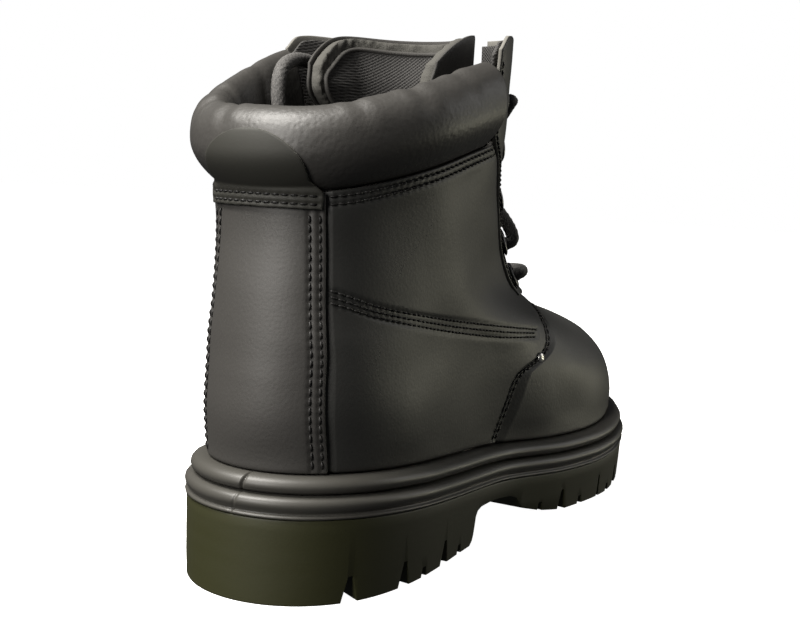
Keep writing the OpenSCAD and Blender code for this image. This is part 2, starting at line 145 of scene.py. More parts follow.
def inset_turn(side, line, inset, z):
    """Turns that run inside a line on one side of the boot, inset from it by a length."""
    return side * (line - degrees_of(inset, side * line, z))


def turn_at(x, z, side):
    back = curve(LEVEL_Z, BACK_X, z)
    front = curve(LEVEL_Z, FRONT_X, z)
    return side * np.degrees(np.arccos(1 - 2 * np.clip((x - back) / (front - back), 0, 1)))


# Lines drawn on the skin
def feather(x):
    return curve([-45, -20, 10, 50, 100, 135, 170, 210, 255],
                 [43, 42.5, 40.5, 37, 33.5, 31.5, 31.5, 34, 39], x)


def bottom(x):
    return feather(x) + 0.1


def collar_seam(x):
    return curve([-35, -16, 18, 40, 72], [133, 136.6, 144.8, 150.4, 157.5], x)


def crest(turn, x):
    line = curve([-35, -22, -8, 15, 59, 90], [161, 163, 167, 174, 186, 192], x)
    return line + np.where(turn > 0, curve([0, 40, 90], [0, 4, 5], x), 0)


def front_edge(z):
    return curve([30, 51, 62, 68, 82, 89, 102, 114, 145, 200],
                 [84, 89, 93, 101, 120, 143, 154, 156, 156, 156], z)


def eyestay_width(z):
    return curve([92, 104, 130, 137, 150, 158, 168], [17.6, 20, 20.5, 24, 35, 44.5, 47.5], z)


def quarter_edge(z):
    return front_edge(z) - curve([91, 96], [0, 1], z) * np.maximum(eyestay_width(z) - 6, QUARTER_SETBACK)


def tuck(z):
    """How far the quarter reaches under the eyestay's rear edge."""
    return np.minimum(6, eyestay_width(z) - QUARTER_SETBACK)


def backstay_edge(z):
    return curve([40, 70, 100, 135], [24, 24, 27.5, 27], z)


def throat_half(z):
    return 180 - front_edge(z)


def triple_top(x):
    return curve([-30, -23, -5, 33, 87, 127], [104.5, 103, 97.4, 91, 84, 79.3], x)


def triple_low(x):
    return curve([-23.5, -5, 34, 88, 120], [99.2, 93.8, 86.8, 79.4, 76.9], x)


def settle(turn_of, lo, hi, v):
    """Heights at share v of the way from line lo to line hi, on the columns that turn_of(z) gives."""
    z = np.full(np.shape(v), 90.0)
    for _ in range(9):
        x = skin(turn_of(z), z)[..., 0]
        z = lo(x) + v * (hi(x) - lo(x))
    return z


# ------------------------------------------------------------------------------ helpers for shapes
def steps(count, fine=True):
    """Shares from 0 to 1 in even steps, with two finer ones at each end."""
    even = np.linspace(0, 1, count + 1)
    extra = np.array([0.25, 0.6]) / count
    return np.sort(np.concatenate([even, extra, 1 - extra])) if fine else even


def smooth_step(t):
    t = np.clip(t, 0, 1)
    return t * t * (3 - 2 * t)


def unevenness(points, size, seed):
    """Smooth noise, mostly between -1 and 1, whose lumps are about size across."""
    rng = np.random.default_rng(seed)
    total = np.zeros(points.shape[:-1])
    for _ in range(14):
        way = unit(rng.normal(size=3)) * 2 * math.pi / size * rng.uniform(0.6, 1.3)
        total += np.sin(points @ way + rng.uniform(0, 2 * math.pi))
    return total / 4


def spline(points, spacing):
    """A smooth line through points, as points about spacing apart."""
    p = np.asarray(points, float)
    ends = np.concatenate([[2 * p[0] - p[1]], p, [2 * p[-1] - p[-2]]])
    made = []
    for a, b, c, d in zip(ends, ends[1:], ends[2:], ends[3:]):
        t = np.linspace(0, 1, max(4, int(np.linalg.norm(c - b) / spacing * 2)), endpoint=False)[:, None]
        made.append(0.5 * (2 * b + (c - a) * t + (2 * a - 5 * b + 4 * c - d) * t**2
                           + (3 * b - a - 3 * c + d) * t**3))
    return evenly(np.concatenate(made + [p[-1:]]), spacing)


def run_along(line):
    """How far along a line each of its points is."""
    return np.concatenate([[0], np.cumsum(np.linalg.norm(np.diff(line, axis=0), axis=1))])


def evenly(line, spacing):
    run = run_along(line)
    count = max(2, int(round(run[-1] / spacing)))
    at = np.linspace(0, run[-1], count + 1)
    return np.stack([np.interp(at, run, line[:, k]) for k in range(line.shape[1])], -1)


def edge_distance(points):
    """How far each grid point is from the grid's nearest border, along its row or column."""
    found = []
    for axis in (0, 1):
        step = np.linalg.norm(np.diff(points, axis=axis), axis=-1)
        first = np.zeros_like(step.take([0], axis))
        run = np.concatenate([first, np.cumsum(step, axis)], axis)
        found.append(np.minimum(run, run.take([-1], axis) - run))
    return np.minimum(*found)


def shell_faces(n, m, gone=None):
    """Quads of a closed shell between two n by m grids: the front, the back and the edge walls."""
    keep = np.ones((n - 1, m - 1), bool) if gone is None else ~gone
    ids = np.arange(n * m).reshape(n, m)
    a, b, c, d = ids[:-1, :-1], ids[:-1, 1:], ids[1:, 1:], ids[1:, :-1]
    front = np.stack([a[keep], b[keep], c[keep], d[keep]], -1)
    padded = np.pad(keep, 1)
    walls = []
    for open_side, p, q in (
        (~padded[1:-1, :-2], a, d), (~padded[1:-1, 2:], c, b),
        (~padded[:-2, 1:-1], b, a), (~padded[2:, 1:-1], d, c),
    ):
        at = keep & open_side
        p, q = p[at], q[at]
        walls.append(np.stack([p, q, q + n * m, p + n * m], -1))
    return front, front[:, ::-1] + n * m, np.concatenate(walls)


# ------------------------------------------------------------------------------ materials
MATERIALS = {}


class Shader:
    """A material's nodes, laid down in the order they are asked for."""

    def __init__(self, name, colour, rough, metal=0.0, specular=0.5):
        self.material = bpy.data.materials.new(name)
        self.material.use_nodes = True
        self.tree = self.material.node_tree
        self.shade = self.tree.nodes["Principled BSDF"]
        self.shade.inputs["Base Color"].default_value = (*colour, 1)
        self.shade.inputs["Roughness"].default_value = rough
        self.shade.inputs["Metallic"].default_value = metal
        self.shade.inputs["Specular IOR Level"].default_value = specular
        self.place = self.node("ShaderNodeTexCoord").outputs["Object"]
        MATERIALS[name] = self.material

    def node(self, kind, **values):
        made = self.tree.nodes.new(kind)
        for key, value in values.items():
            if hasattr(made, key):
                setattr(made, key, value)
            else:
                made.inputs[key.replace("_", " ")].default_value = value
        return made

    def link(self, out, into):
        self.tree.links.new(out, into)

    def stretched(self, scale):
        made = self.node("ShaderNodeMapping", Scale=scale)
        self.link(self.place, made.inputs["Vector"])
        return made.outputs["Vector"]

    def noise(self, scale, detail=4.0, rough=0.55, place=None):
        made = self.node("ShaderNodeTexNoise", Scale=scale, Detail=detail, Roughness=rough)
        self.link(place or self.place, made.inputs["Vector"])
        return made.outputs["Fac"]

    def cells(self, scale):
        made = self.node("ShaderNodeTexVoronoi", Scale=scale, feature="SMOOTH_F1")
        self.link(self.place, made.inputs["Vector"])
        return made.outputs["Distance"]

    def ramp(self, value, low, high, at=(0.3, 0.7)):
        made = self.node("ShaderNodeValToRGB")
        made.color_ramp.elements[0].position, made.color_ramp.elements[1].position = at
        made.color_ramp.elements[0].color = (*low, 1)
        made.color_ramp.elements[1].color = (*high, 1)
        self.link(value, made.inputs["Fac"])
        return made.outputs["Color"]

    def sum_of(self, *parts):
        """Adds (output, weight) pairs up."""
        total = None
        for out, weight in parts:
            made = self.node("ShaderNodeMath", operation="MULTIPLY_ADD")
            self.link(out, made.inputs[0])
            made.inputs[1].default_value = weight
            if total is not None:
                self.link(total, made.inputs[2])
            total = made.outputs[0]
        return total

    def colour(self, out):
        self.link(out, self.shade.inputs["Base Color"])

    def roughness(self, value, low, high):
        made = self.node("ShaderNodeMapRange")
        made.inputs["To Min"].default_value = low
        made.inputs["To Max"].default_value = high
        self.link(value, made.inputs["Value"])
        self.link(made.outputs["Result"], self.shade.inputs["Roughness"])

    def relief(self, height, depth_mm, strength=1.0):
        made = self.node("ShaderNodeBump", Strength=strength, Distance=depth_mm * MM)
        self.link(height, made.inputs["Height"])
        self.link(made.outputs["Normal"], self.shade.inputs["Normal"])


def leather(name, dark, light, rough, grain, grain_mm, pores=900.0):
    """Grained leather: fine pebbles over slow swells, blotchy colour and a gloss that varies."""
    made = Shader(name, dark, rough)
    blotches = made.noise(38, 5)
    fine = made.noise(pores * 1.9, 3)
    pebbles = made.cells(pores)
    made.colour(made.ramp(made.sum_of((blotches, 0.8), (fine, 0.2)), dark, light))
    made.roughness(made.sum_of((blotches, 0.6), (pebbles, 0.4)), rough - 0.07, rough + 0.08)
    made.relief(made.sum_of((pebbles, grain), (fine, 0.35 * grain), (made.noise(160, 3), 0.5)), grain_mm, 0.8)


def rubber(name, dark, light, rough):
    """Moulded rubber: a dull skin with flow streaks round the sole and dusty specks."""
    made = Shader(name, dark, rough, specular=0.45)
    streaks = made.noise(60, 4, place=made.stretched((0.35, 0.35, 3.2)))
    specks = made.noise(900, 3)
    made.colour(made.ramp(made.sum_of((streaks, 0.7), (specks, 0.3)), dark, light))
    made.roughness(streaks, rough - 0.08, rough + 0.08)
    made.relief(made.sum_of((specks, 0.4), (made.noise(240, 4), 0.6)), 0.09, 0.7)


def woven(name, dark, light, pitch_mm, rough=0.85, depth_mm=0.3):
    """Woven mesh: two rows of crossing yarns, with the dark gaps between them."""
    made = Shader(name, dark, rough, specular=0.3)
    split = made.node("ShaderNodeSeparateXYZ")
    made.link(made.place, split.inputs[0])
    waves = []
    for axis, turns in (("Y", 1.0), ("Z", 1.15)):
        wave = made.node("ShaderNodeMath", operation="MULTIPLY")
        made.link(split.outputs[axis], wave.inputs[0])
        wave.inputs[1].default_value = 2 * math.pi * turns / (pitch_mm * MM)
        sine = made.node("ShaderNodeMath", operation="SINE")
        made.link(wave.outputs[0], sine.inputs[0])
        waves.append(sine.outputs[0])
    product = made.node("ShaderNodeMath", operation="MULTIPLY")
    made.link(waves[0], product.inputs[0])
    made.link(waves[1], product.inputs[1])
    fuzz = made.noise(2600, 2)
    height = made.sum_of((product.outputs[0], 0.5), (fuzz, 0.35))
    made.colour(made.ramp(height, dark, light, (-0.0, 0.6)))
    made.relief(height, depth_mm, 0.9)


def speckled(name, dark, light, scale, rough, depth_mm, at=(0.4, 0.62)):
    """Open foam, board or fibre: speckles of two tones with a rough relief."""
    made = Shader(name, dark, rough, specular=0.2)
    grains = made.sum_of((made.noise(scale, 4, 0.7), 0.7), (made.noise(scale * 0.22, 3), 0.3))
    made.colour(made.ramp(grains, dark, light, at))
    made.relief(grains, depth_mm, 0.9)


def metal(name, dark, light, rough, scale=400):
    """Pressed or painted metal: a brushed gloss with small stains."""
    made = Shader(name, dark, rough, metal=1.0)
    stains = made.noise(scale, 4)
    made.colour(made.ramp(stains, dark, light))
    made.roughness(stains, rough - 0.08, rough + 0.12)
    made.relief(made.noise(scale * 4, 2), 0.02, 0.5)


def yarn(name, dark, light, rough=0.75):
    """Twisted thread: fine fibres in two tones."""
    made = Shader(name, dark, rough, specular=0.35)
    fibres = made.noise(3200, 2, place=made.stretched((1, 1, 0.4)))
    made.colour(made.ramp(fibres, dark, light))
    made.relief(fibres, 0.08, 0.8)


def make_materials():
    leather("upper_leather", (0.016, 0.0165, 0.016), (0.026, 0.026, 0.024), 0.44, 0.5, 0.10)
    leather("heel_leather", (0.026, 0.025, 0.0235), (0.04, 0.038, 0.035), 0.47, 0.5, 0.10)
    leather("collar_leather", (0.024, 0.023, 0.022), (0.04, 0.038, 0.035), 0.40, 0.8, 0.16, 620)
    leather("tab_leather", (0.013, 0.013, 0.010), (0.020, 0.0195, 0.015), 0.62, 0.3, 0.05)
    leather("tongue_leather", (0.014, 0.014, 0.014), (0.024, 0.024, 0.023), 0.5, 0.6, 0.12)
    speckled("raw_edge", (0.03, 0.029, 0.026), (0.16, 0.155, 0.14), 1500, 0.8, 0.12)
    speckled("dark_edge", (0.012, 0.012, 0.012), (0.05, 0.048, 0.045), 1500, 0.8, 0.12)
    rubber("bead_rubber", (0.032, 0.031, 0.027), (0.05, 0.048, 0.042), 0.45)
    rubber("sole_rubber", (0.013, 0.0135, 0.004), (0.024, 0.0245, 0.007), 0.58)
    woven("mesh", (0.006, 0.006, 0.0065), (0.06, 0.058, 0.056), 1.5)
    woven("lining", (0.005, 0.005, 0.0055), (0.024, 0.0235, 0.023), 1.3)
    woven("footbed", (0.012, 0.012, 0.014), (0.05, 0.05, 0.052), 1.8)
    speckled("foam", (0.007, 0.007, 0.007), (0.075, 0.073, 0.066), 620, 0.95, 0.6, (0.47, 0.66))
    speckled("collar_foam", (0.02, 0.02, 0.02), (0.06, 0.06, 0.058), 900, 0.95, 0.4)
    speckled("board", (0.16, 0.12, 0.075), (0.3, 0.24, 0.16), 700, 0.9, 0.1)
    speckled("counter_fibre", (0.3, 0.26, 0.2), (0.5, 0.45, 0.37), 700, 0.9, 0.1)
    rubber("trim_rubber", (0.008, 0.008, 0.008), (0.016, 0.016, 0.015), 0.6)
    metal("toe_steel", (0.36, 0.37, 0.38), (0.52, 0.53, 0.55), 0.35)
    metal("spring_steel", (0.3, 0.31, 0.33), (0.45, 0.46, 0.48), 0.3)
    metal("eyelet_metal", (0.05, 0.05, 0.052), (0.12, 0.12, 0.12), 0.34)
    metal("rivet_metal", (0.6, 0.59, 0.56), (0.8, 0.79, 0.75), 0.3)
    yarn("lace", (0.02, 0.02, 0.02), (0.13, 0.125, 0.12))
    yarn("thread", (0.006, 0.006, 0.006), (0.022, 0.021, 0.02), 0.5)
    made = Shader("aglet", (0.012, 0.012, 0.013), 0.2)
    made.roughness(made.noise(500, 3), 0.15, 0.32)
    made.relief(made.noise(900, 2), 0.02, 0.5)


# ------------------------------------------------------------------------------ making pieces
def add_object(name, data):
    made = bpy.data.objects.new(name, data)
    bpy.context.scene.collection.objects.link(made)
    return made


def piece(name, points, faces, body, looks, replaces=()):
    """One mesh object. faces is a list of quad or triangle arrays and looks their materials, in step."""
    mesh = bpy.data.meshes.new(name)
    points = np.asarray(points, float).reshape(-1, 3) * MM
    sizes = np.concatenate([np.full(len(f), f.shape[1]) for f in faces])
    corners = np.concatenate([f.ravel() for f in faces])
    mesh.vertices.add(len(points))
    mesh.vertices.foreach_set("co", points.ravel())
    mesh.loops.add(len(corners))
    mesh.loops.foreach_set("vertex_index", corners.astype(np.int32))
    mesh.polygons.add(len(sizes))
    mesh.polygons.foreach_set("loop_start", np.concatenate([[0], np.cumsum(sizes)[:-1]]).astype(np.int32))
    names = list(dict.fromkeys(looks))
    for look in names:
        mesh.materials.append(MATERIALS[look])
    index = np.concatenate([np.full(len(f), names.index(k)) for f, k in zip(faces, looks)])
    mesh.polygons.foreach_set("material_index", index.astype(np.int32))
    mesh.polygons.foreach_set("use_smooth", np.ones(len(sizes), bool))
    mesh.update(calc_edges=True)
    mesh.validate()
    made = add_object(name, mesh)
    return dress(made, body, replaces)


def dress(made, body, replaces=()):
    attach(made, body)
    if replaces:
        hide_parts(*replaces)
    return made


def mark_sharp(mesh, degrees):
    work = bmesh.new()
    work.from_mesh(mesh)
    for edge in work.edges:
        edge.smooth = edge.calc_face_angle(0) < math.radians(degrees)
    work.to_mesh(mesh)
    work.free()


class Row:
    """A row of stitches: its line and the directions out of the leather along it."""

    def __init__(self, points, normals):
        both = evenly(np.concatenate([points, normals], -1), 0.5)
        self.points = both[:, :3]
        self.normals = unit(both[:, 3:])
        self.run = run_along(self.points)


def skin_row(turn, z, off):
    return Row(on_skin(turn, z, off), outward(turn, z))


def groove(points, rows, depth, width):
    """How deep the rows pull each point in, with a pucker at every needle hole."""
    flat = points.reshape(-1, 3)
    total = np.zeros(len(flat))
    for row in rows:
        near = np.all((flat > row.points.min(0) - 3 * width) & (flat < row.points.max(0) + 3 * width), 1)
        at = np.nonzero(near)[0]
        for some in np.array_split(at, max(1, len(at) // 3000)):
            gap = np.linalg.norm(flat[some, None] - row.points[None], axis=-1)
            best = gap.argmin(1)
            pucker = 1 + 0.3 * np.cos(2 * math.pi * row.run[best] / STITCH_PITCH)
            total[some] = np.maximum(total[some], depth * pucker * np.exp(-(gap.min(1) / width) ** 2))
    return total.reshape(points.shape[:-1])


def stitches(name, rows, body, radius=0.42, long=2.6):
    """All the stitches of some rows, as small sunk threads."""
    starts, ends, outs = [], [], []
    for row in rows:
        at = np.arange(0.4, row.run[-1] - long, STITCH_PITCH)
        for values, s in ((starts, at), (ends, at + long)):
            values.append(np.stack([np.interp(s, row.run, row.points[:, k]) for k in range(3)], -1))
        outs.append(np.stack([np.interp(at + long / 2, row.run, row.normals[:, k]) for k in range(3)], -1))
    a, b, n = (np.concatenate(v)[:, None, None] for v in (starts, ends, outs))
    t = np.linspace(0, 1, 7)[None, :, None, None]
    ring = np.linspace(0, 2 * math.pi, 7)[:-1][None, None, :, None]
    side = unit(np.cross(b - a, n))
    thick = radius * np.sin(math.pi * (0.04 + 0.92 * t)) ** 0.4
    lift = 0.34 * np.sin(math.pi * t) - 0.3
    pts = a + (b - a) * t + n * lift + thick * (np.cos(ring) * n + np.sin(ring) * side)
    count, rings, sides = pts.shape[:3]
    ids = np.arange(count * rings * sides).reshape(count, rings, sides)
    turned = np.roll(ids, -1, 2)
    body_faces = np.stack([ids[:, :-1], ids[:, 1:], turned[:, 1:], turned[:, :-1]], -1).reshape(-1, 4)
    first = np.stack([ids[:, 0, [0, 1, 2, 3]], ids[:, 0, [3, 4, 5, 0]]], 1).reshape(-1, 4)
    last = np.stack([ids[:, -1, [3, 2, 1, 0]], ids[:, -1, [0, 5, 4, 3]]], 1).reshape(-1, 4)
    return piece(name, pts, [body_faces, first, last], body, ["thread"] * 3)


def ring_solid(name, rings, body, look, replaces, tips=None):
    """A closed solid through rings of points, each end closed with a fan round its tip."""
    if tips is None:
        tips = np.stack([rings[0].mean(0), rings[-1].mean(0)])
    n, m = rings.shape[:2]
    ids = np.arange(n * m).reshape(n, m)
    turned = np.roll(ids, -1, 1)
    wall = np.stack([ids[:-1], turned[:-1], turned[1:], ids[1:]], -1).reshape(-1, 4)
    first = np.stack([np.full(m, n * m), turned[0], ids[0]], -1)
    last = np.stack([np.full(m, n * m + 1), ids[-1], turned[-1]], -1)
    points = np.concatenate([rings.reshape(-1, 3), tips])
    return piece(name, points, [wall, first, last], body, [look] * 3, replaces)


def looped_faces(n, m):
    """Quads of an n by m grid that closes on itself both ways."""
    ids = np.arange(n * m).reshape(n, m)
    ahead = np.roll(ids, -1, 0)
    return np.stack([ids, ahead, np.roll(ahead, -1, 1), np.roll(ids, -1, 1)], -1).reshape(-1, 4)


def panel_points(us, vs, turn, lo, hi):
    """Turn and height of each grid point of a panel."""
    u, v = np.meshgrid(us, vs, indexing="ij")
    z = settle(lambda at: turn(u, at), lo, hi, v)
    return turn(u, z), z


def cut_panel(name, turn, z, off, thick, body, look, replaces, rows=(), edge="dark_edge",
              swell=0.25, seed=1, gone=None, depth=0.55, bulge=None):
    """A cut panel of leather or cloth with rounded edges, pulled in along its rows of stitches."""
    base = skin(turn, z)
    out = outward(turn, z)
    off = np.broadcast_to(off, turn.shape).astype(float)
    edges = edge_distance(base)
    face = off - 0.5 * (1 - np.clip(edges / 1.1, 0, 1)) ** 2
    if swell:
        face = face + swell * unevenness(base, 34, seed) * smooth_step(edges / 12)
    if bulge is not None:
        face = face + bulge(base)
    outer = base + face[..., None] * out
    if rows:
        outer -= groove(outer, rows, depth, 0.85)[..., None] * out
    back = off - thick + 0.15 * (1 - np.clip(edges / 1.1, 0, 1)) ** 2
    inner = base + back[..., None] * out
    faces = shell_faces(*turn.shape, gone)
    return piece(name, np.stack([outer, inner]), list(faces), body, [look, edge, edge], replaces)


# ------------------------------------------------------------------------------ camera
def make_camera():
    data = bpy.data.cameras.new("camera")
    data.sensor_width = 36
    data.lens = 51.77
    data.clip_start = 0.01
    camera = add_object("camera", data)
    right = Vector((0.47520, -0.87812, 0.05560))
    up = Vector((0.07612, 0.10398, 0.99166))
    back = right.cross(up)
    place = Matrix((right, up, back)).transposed().to_4x4()
    place.translation = (-0.33936, -0.21710, 0.13822)
    camera.matrix_world = place
    bpy.context.scene.camera = camera


# ------------------------------------------------------------------------------ laces
EYELET_Z = [101, 116, 135, 155, 174]
EYELET_BACK = 11
THROUGH_IN, THROUGH_OUT = -7.0, 5.7
INNER_END_ROUTE = [
    [0, 0, -7.2], [-6, 1, -7.4], [-14, 3, -8.2], [-24, 6, -9.8], [-33, 8, -12.4],
    [-42, 9, -13.4], [-52, 8, -13.6], [-60, 4, -13.8], [-64, -4, -14],
    [-65, -16, -14.2], [-64, -34, -14.2], [-65, -56, -13.4], [-70, -80, -12.5],
]
OUTER_END_ROUTE = [
    [0, 0, -7.2], [-6, 0, -7.4], [-14, -1, -8.2], [-24, -3, -9.8], [-33, -5, -12.4],
    [-42, -8, -13.4], [-50, -13, -13.6], [-56, -21, -13.8], [-60, -32, -14],
    [-62, -46, -14.2], [-65, -62, -13.6], [-70, -80, -12.5],
]


def hole(side, k, off):
    return [side * (front_edge(EYELET_Z[k]) - EYELET_BACK), EYELET_Z[k], off]


def rise(k, m, share):
    return EYELET_Z[k] + share * (EYELET_Z[m] - EYELET_Z[k])


def edge_of(side, z, off):
    return [side * (front_edge(z) + 2), z, off]


def middle(side, z, share, off):
    return [180 - side * LACE_SPREAD * (1 - 2 * share), z, off]


def under(side, mid):
    return [
        hole(side, 0, THROUGH_IN), edge_of(side, rise(0, 1, 0.25), -6.6),
        middle(side, rise(0, 1, 0.4), 0.4, (mid - 4) / 2), middle(side, rise(0, 1, 0.5), 0.5, mid),
        middle(side, rise(0, 1, 0.6), 0.6, (mid - 4) / 2), edge_of(-side, rise(0, 1, 0.75), -6.6),
        hole(-side, 1, THROUGH_IN),
    ]


def over(side, mid):
    return [
        hole(side, 1, THROUGH_OUT), edge_of(side, rise(1, 4, 0.19), 5.2),
        middle(side, rise(1, 4, 0.36), 0.36, (mid + 3) / 2), middle(side, rise(1, 4, 0.5), 0.5, mid),
        middle(side, rise(1, 4, 0.64), 0.64, (mid + 3) / 2), edge_of(-side, rise(1, 4, 0.81), 5.2),
        hole(-side, 4, THROUGH_OUT),
    ]


def strand(side, low):
    deep, high = (-2.2, -1.5) if low else (4, 4.3)
    return under(side, deep) + over(-side, high)


def laid(route):
    turn, z, off = np.array(route, float).T
    return on_skin(turn % 360, z, off)


def frames_along(line):
    """Directions along a line, and two across it that never twist."""
    along = unit(np.gradient(line, axis=0))
    across = [unit(np.cross(along[0], [0.3, 0.2, 1.0]))]
    for t in along[1:]:
        across.append(unit(across[-1] - (across[-1] @ t) * t))
    across = np.array(across)
    return along, across, np.cross(along, across)


def braid_height(angle, run, strands=8, pitch=2.5):
    """Relief of a round braid, from 0 in a gap to 1 on a strand's crown."""
    a = angle * strands / (2 * math.pi) + run / pitch
    b = angle * strands / (2 * math.pi) - run / pitch
    on_top = (np.floor(a) + np.floor(b)) % 2 < 0.5
    across = np.where(on_top, a % 1, b % 1)
    along = np.where(on_top, b % 1, a % 1)
    return np.sin(math.pi * across) ** 0.55 * (0.55 + 0.45 * np.sin(math.pi * along))


def tube(name, line, radius_of, sides, body, look, replaces=()):
    """A closed tube along line; radius_of(angle, run) gives its radius."""
    _, across, other = frames_along(line)
    run = run_along(line)
    angle = np.linspace(0, 2 * math.pi, sides, endpoint=False)
    radius = radius_of(angle[None], run[:, None]) * np.ones((len(line), sides))
    ring = across[:, None] * np.cos(angle)[:, None] + other[:, None] * np.sin(angle)[:, None]
    points = line[:, None] + radius[..., None] * ring
    return ring_solid(name, points, body, look, replaces, line[[0, -1]])


def braided(name, line, body, replaces):
    def radius(angle, run):
        return LACE_D / 2 - 0.34 + 0.42 * braid_height(angle, run)

    return tube(name, line, radius, 32, body, "lace", replaces)


def make_lace():
    left = strand(1, True)
    right = strand(-1, False)
    bar = [hole(1, 0, THROUGH_OUT), [166, 99, 4.8], [180, 99, 3], [-166, 99, 4.8], hole(-1, 0, THROUGH_OUT)]
    braided("braided_lace", spline(laid(left[::-1] + bar + right), 0.6), BOOT, ["lace"])


def make_lace_end(side):
    """A loose end that leaves the top eyelet on the inside and hangs in the shaft, with its aglet."""
    name = SIDE_NAME[side]
    top = EYELET_Z[-1]
    route = INNER_END_ROUTE if side > 0 else OUTER_END_ROUTE
    line = laid([
        [side * (front_edge(top) - EYELET_BACK + turn), top + up, off] for turn, up, off in route
    ])
    down = unit(line[-1] - line[-2])
    smooth = spline(line, 0.6)
    end = braided(f"braided_lace_end_{name}", smooth, BOOT, [f"lace_end_{name}"])
    start = line[-1] + 0.2 * down
    sleeve = start + np.linspace(0, 13.8, 40)[:, None] * down

    def radius(angle, run):
        crimp = 0.16 * np.exp(-((run - 3.2) / 0.7) ** 2) + 0.16 * np.exp(-((run - 10) / 0.7) ** 2)
        tip = 0.5 * smooth_step((run - 12.9) / 0.9) + 0.25 * smooth_step((0.5 - run) / 0.5)
        return (LACE_D - 1.5) / 2 - crimp - tip + 0 * angle

    aglet = tube(f"aglet_sleeve_{name}", sleeve, radius, 24, BOOT, "aglet", [f"aglet_{name}"])
    path = spline(line, 5)


# ------------------------------------------------------------------------------ upper panels
def backstay_rows():
    rows = []
    for side in (LATERAL, MEDIAL):
        z = np.linspace(44, 128.5, 120)
        for inset in (2.0, 5.4):
            turn = inset_turn(side, backstay_edge(z), inset, z)
            rows.append(skin_row(turn, z, np.full(z.shape, 0.9)))
    return rows


def make_backstay():
    turn, z = panel_points(2 * steps(84) - 1, steps(120), lambda u, at: u * backstay_edge(at),
                           bottom, lambda x: 134.4 + 0 * x)
    rows = backstay_rows()
    cut_panel("backstay_leather", turn, z, 0.9, 1.6, BOOT, "heel_leather", ["backstay"],
              rows, seed=3)
    stitches("backstay_stitches", rows, BOOT)


def quarter_rows(side):
    """Rows along the collar seam, the three swept rows and the rows along the front edge."""
    rows = []
    share = np.linspace(0, 1, 240)
    for drop in (1.8, 4.4):
        def turn_of(z):
            start = backstay_edge(z) + 1.2
            return side * (start + (quarter_edge(z) - 7.5 - start) * share)

        z = settle(turn_of, lambda x: collar_seam(x) - drop, lambda x: collar_seam(x), 0 * share)
        rows.append(skin_row(turn_of(z), z, 0 * z))
    for mix in (0, 0.5, 1):
        x = np.linspace(-26, 128, 240)
        z = triple_top(x) + mix * (triple_low(x) - triple_top(x))
        turn = turn_at(x, z, side)
        inside = (abs(turn) > backstay_edge(z) + 1.2) & (abs(turn) < front_edge(z) - 6.5)
        rows.append(skin_row(turn[inside], z[inside], 0 * z[inside]))
    z = np.linspace(34, 90, 160)
    for inset in (1.7, 4.3):
        turn = inset_turn(side, front_edge(z), inset, z)
        inside = z > feather(skin(turn, z)[:, 0]) + 1.5
        rows.append(skin_row(turn[inside], z[inside], 0 * z[inside]))
    return rows


def make_quarter(side):
    shares = np.concatenate([[-3, -2, -1], steps(165, False), 1 + np.arange(1, 17)])

    def turn(u, z):
        start = backstay_edge(z) + 2.5
        end = quarter_edge(z)
        hidden = 1.2 + (start - 3.4) * (u + 3) / 2
        seen = end - tuck(z) - 2.5
        shown = start + (seen - start) * u
        tip = seen + (end - seen) * (u - 1) / 16
        return side * np.where(u < 0, hidden, np.where(u <= 1, shown, tip))

    order = slice(None) if side > 0 else slice(None, None, -1)
    a, z = panel_points(shares[order], steps(126), turn, bottom, collar_seam)
    u = np.broadcast_to(shares[order][:, None], z.shape)
    tucked = smooth_step((z - 86) / 4) * (u > 4.5)
    off = -1.2 * np.where(u < 0, 1, tucked)
    rows = quarter_rows(side)
    name = SIDE_NAME[side]
    cut_panel(f"quarter_leather_{name}", a, z, off, LEATHER_T, BOOT, "upper_leather",
              [f"quarter_{name}"], rows, seed=5 + side)
    stitches(f"quarter_stitches_{name}", rows, BOOT)


def cap_ridge(base):
    """The steel toe cap shows as a slight step in the vamp."""
    z = base[..., 2]
    half = curve([34, 50, 66, 76, 82.5], [54, 53, 50, 40, 22], z)
    angle = np.degrees(np.arctan2(abs(base[..., 1]) / 50, (base[..., 0] - 105) / 140))
    return 0.55 * smooth_step((half - angle) / 5)


def make_vamp():
    margin = [-2.4, -0.6, 4, 9]
    shown = 2 * steps(230, False) - 1
    us = np.concatenate([[-4, -3, -2], shown, [2, 3, 4]])

    def turn(u, z):
        past = np.array(margin)[np.clip(np.abs(np.round(u)).astype(int), 1, 4) - 1]
        wide = throat_half(z) + np.where(np.abs(u) > 1, past, margin[0])
        return 180 + np.where(np.abs(u) > 1, np.sign(u), u) * wide

    a, z = panel_points(us, steps(84), turn, bottom, lambda x: 92.5 + 0 * x)
    u = np.broadcast_to(us[:, None], z.shape)
    off = np.where(np.abs(u) > 1, -2.4, -0.3)
    cut_panel("vamp_leather", a, z, off, LEATHER_T, BOOT, "upper_leather", ["vamp"],
              swell=0.3, seed=8, bulge=cap_ridge)


def eyestay_rows(side, top):
    rows = []
    z = np.linspace(95, top - 10, 170)
    rear = front_edge(z) - np.maximum(eyestay_width(z), EYESTAY_LEAST)
    for line, inset in ((rear, -2.2), (front_edge(z), 2.2)):
        rows.append(skin_row(inset_turn(side, line, inset, z), z, np.full(z.shape, 1.2)))
    return rows


def around_eyelets(points, side, radius):
    """Which cells of a grid lie round an eyelet's barrel."""
    middle_of_cell = (points[:-1, :-1] + points[1:, :-1] + points[1:, 1:] + points[:-1, 1:]) / 4
    gone = np.zeros(middle_of_cell.shape[:2], bool)
    for z in EYELET_Z:
        at = skin(side * (front_edge(z) - EYELET_BACK), z)
        gone |= np.linalg.norm(middle_of_cell - at, axis=-1) < radius
    return gone


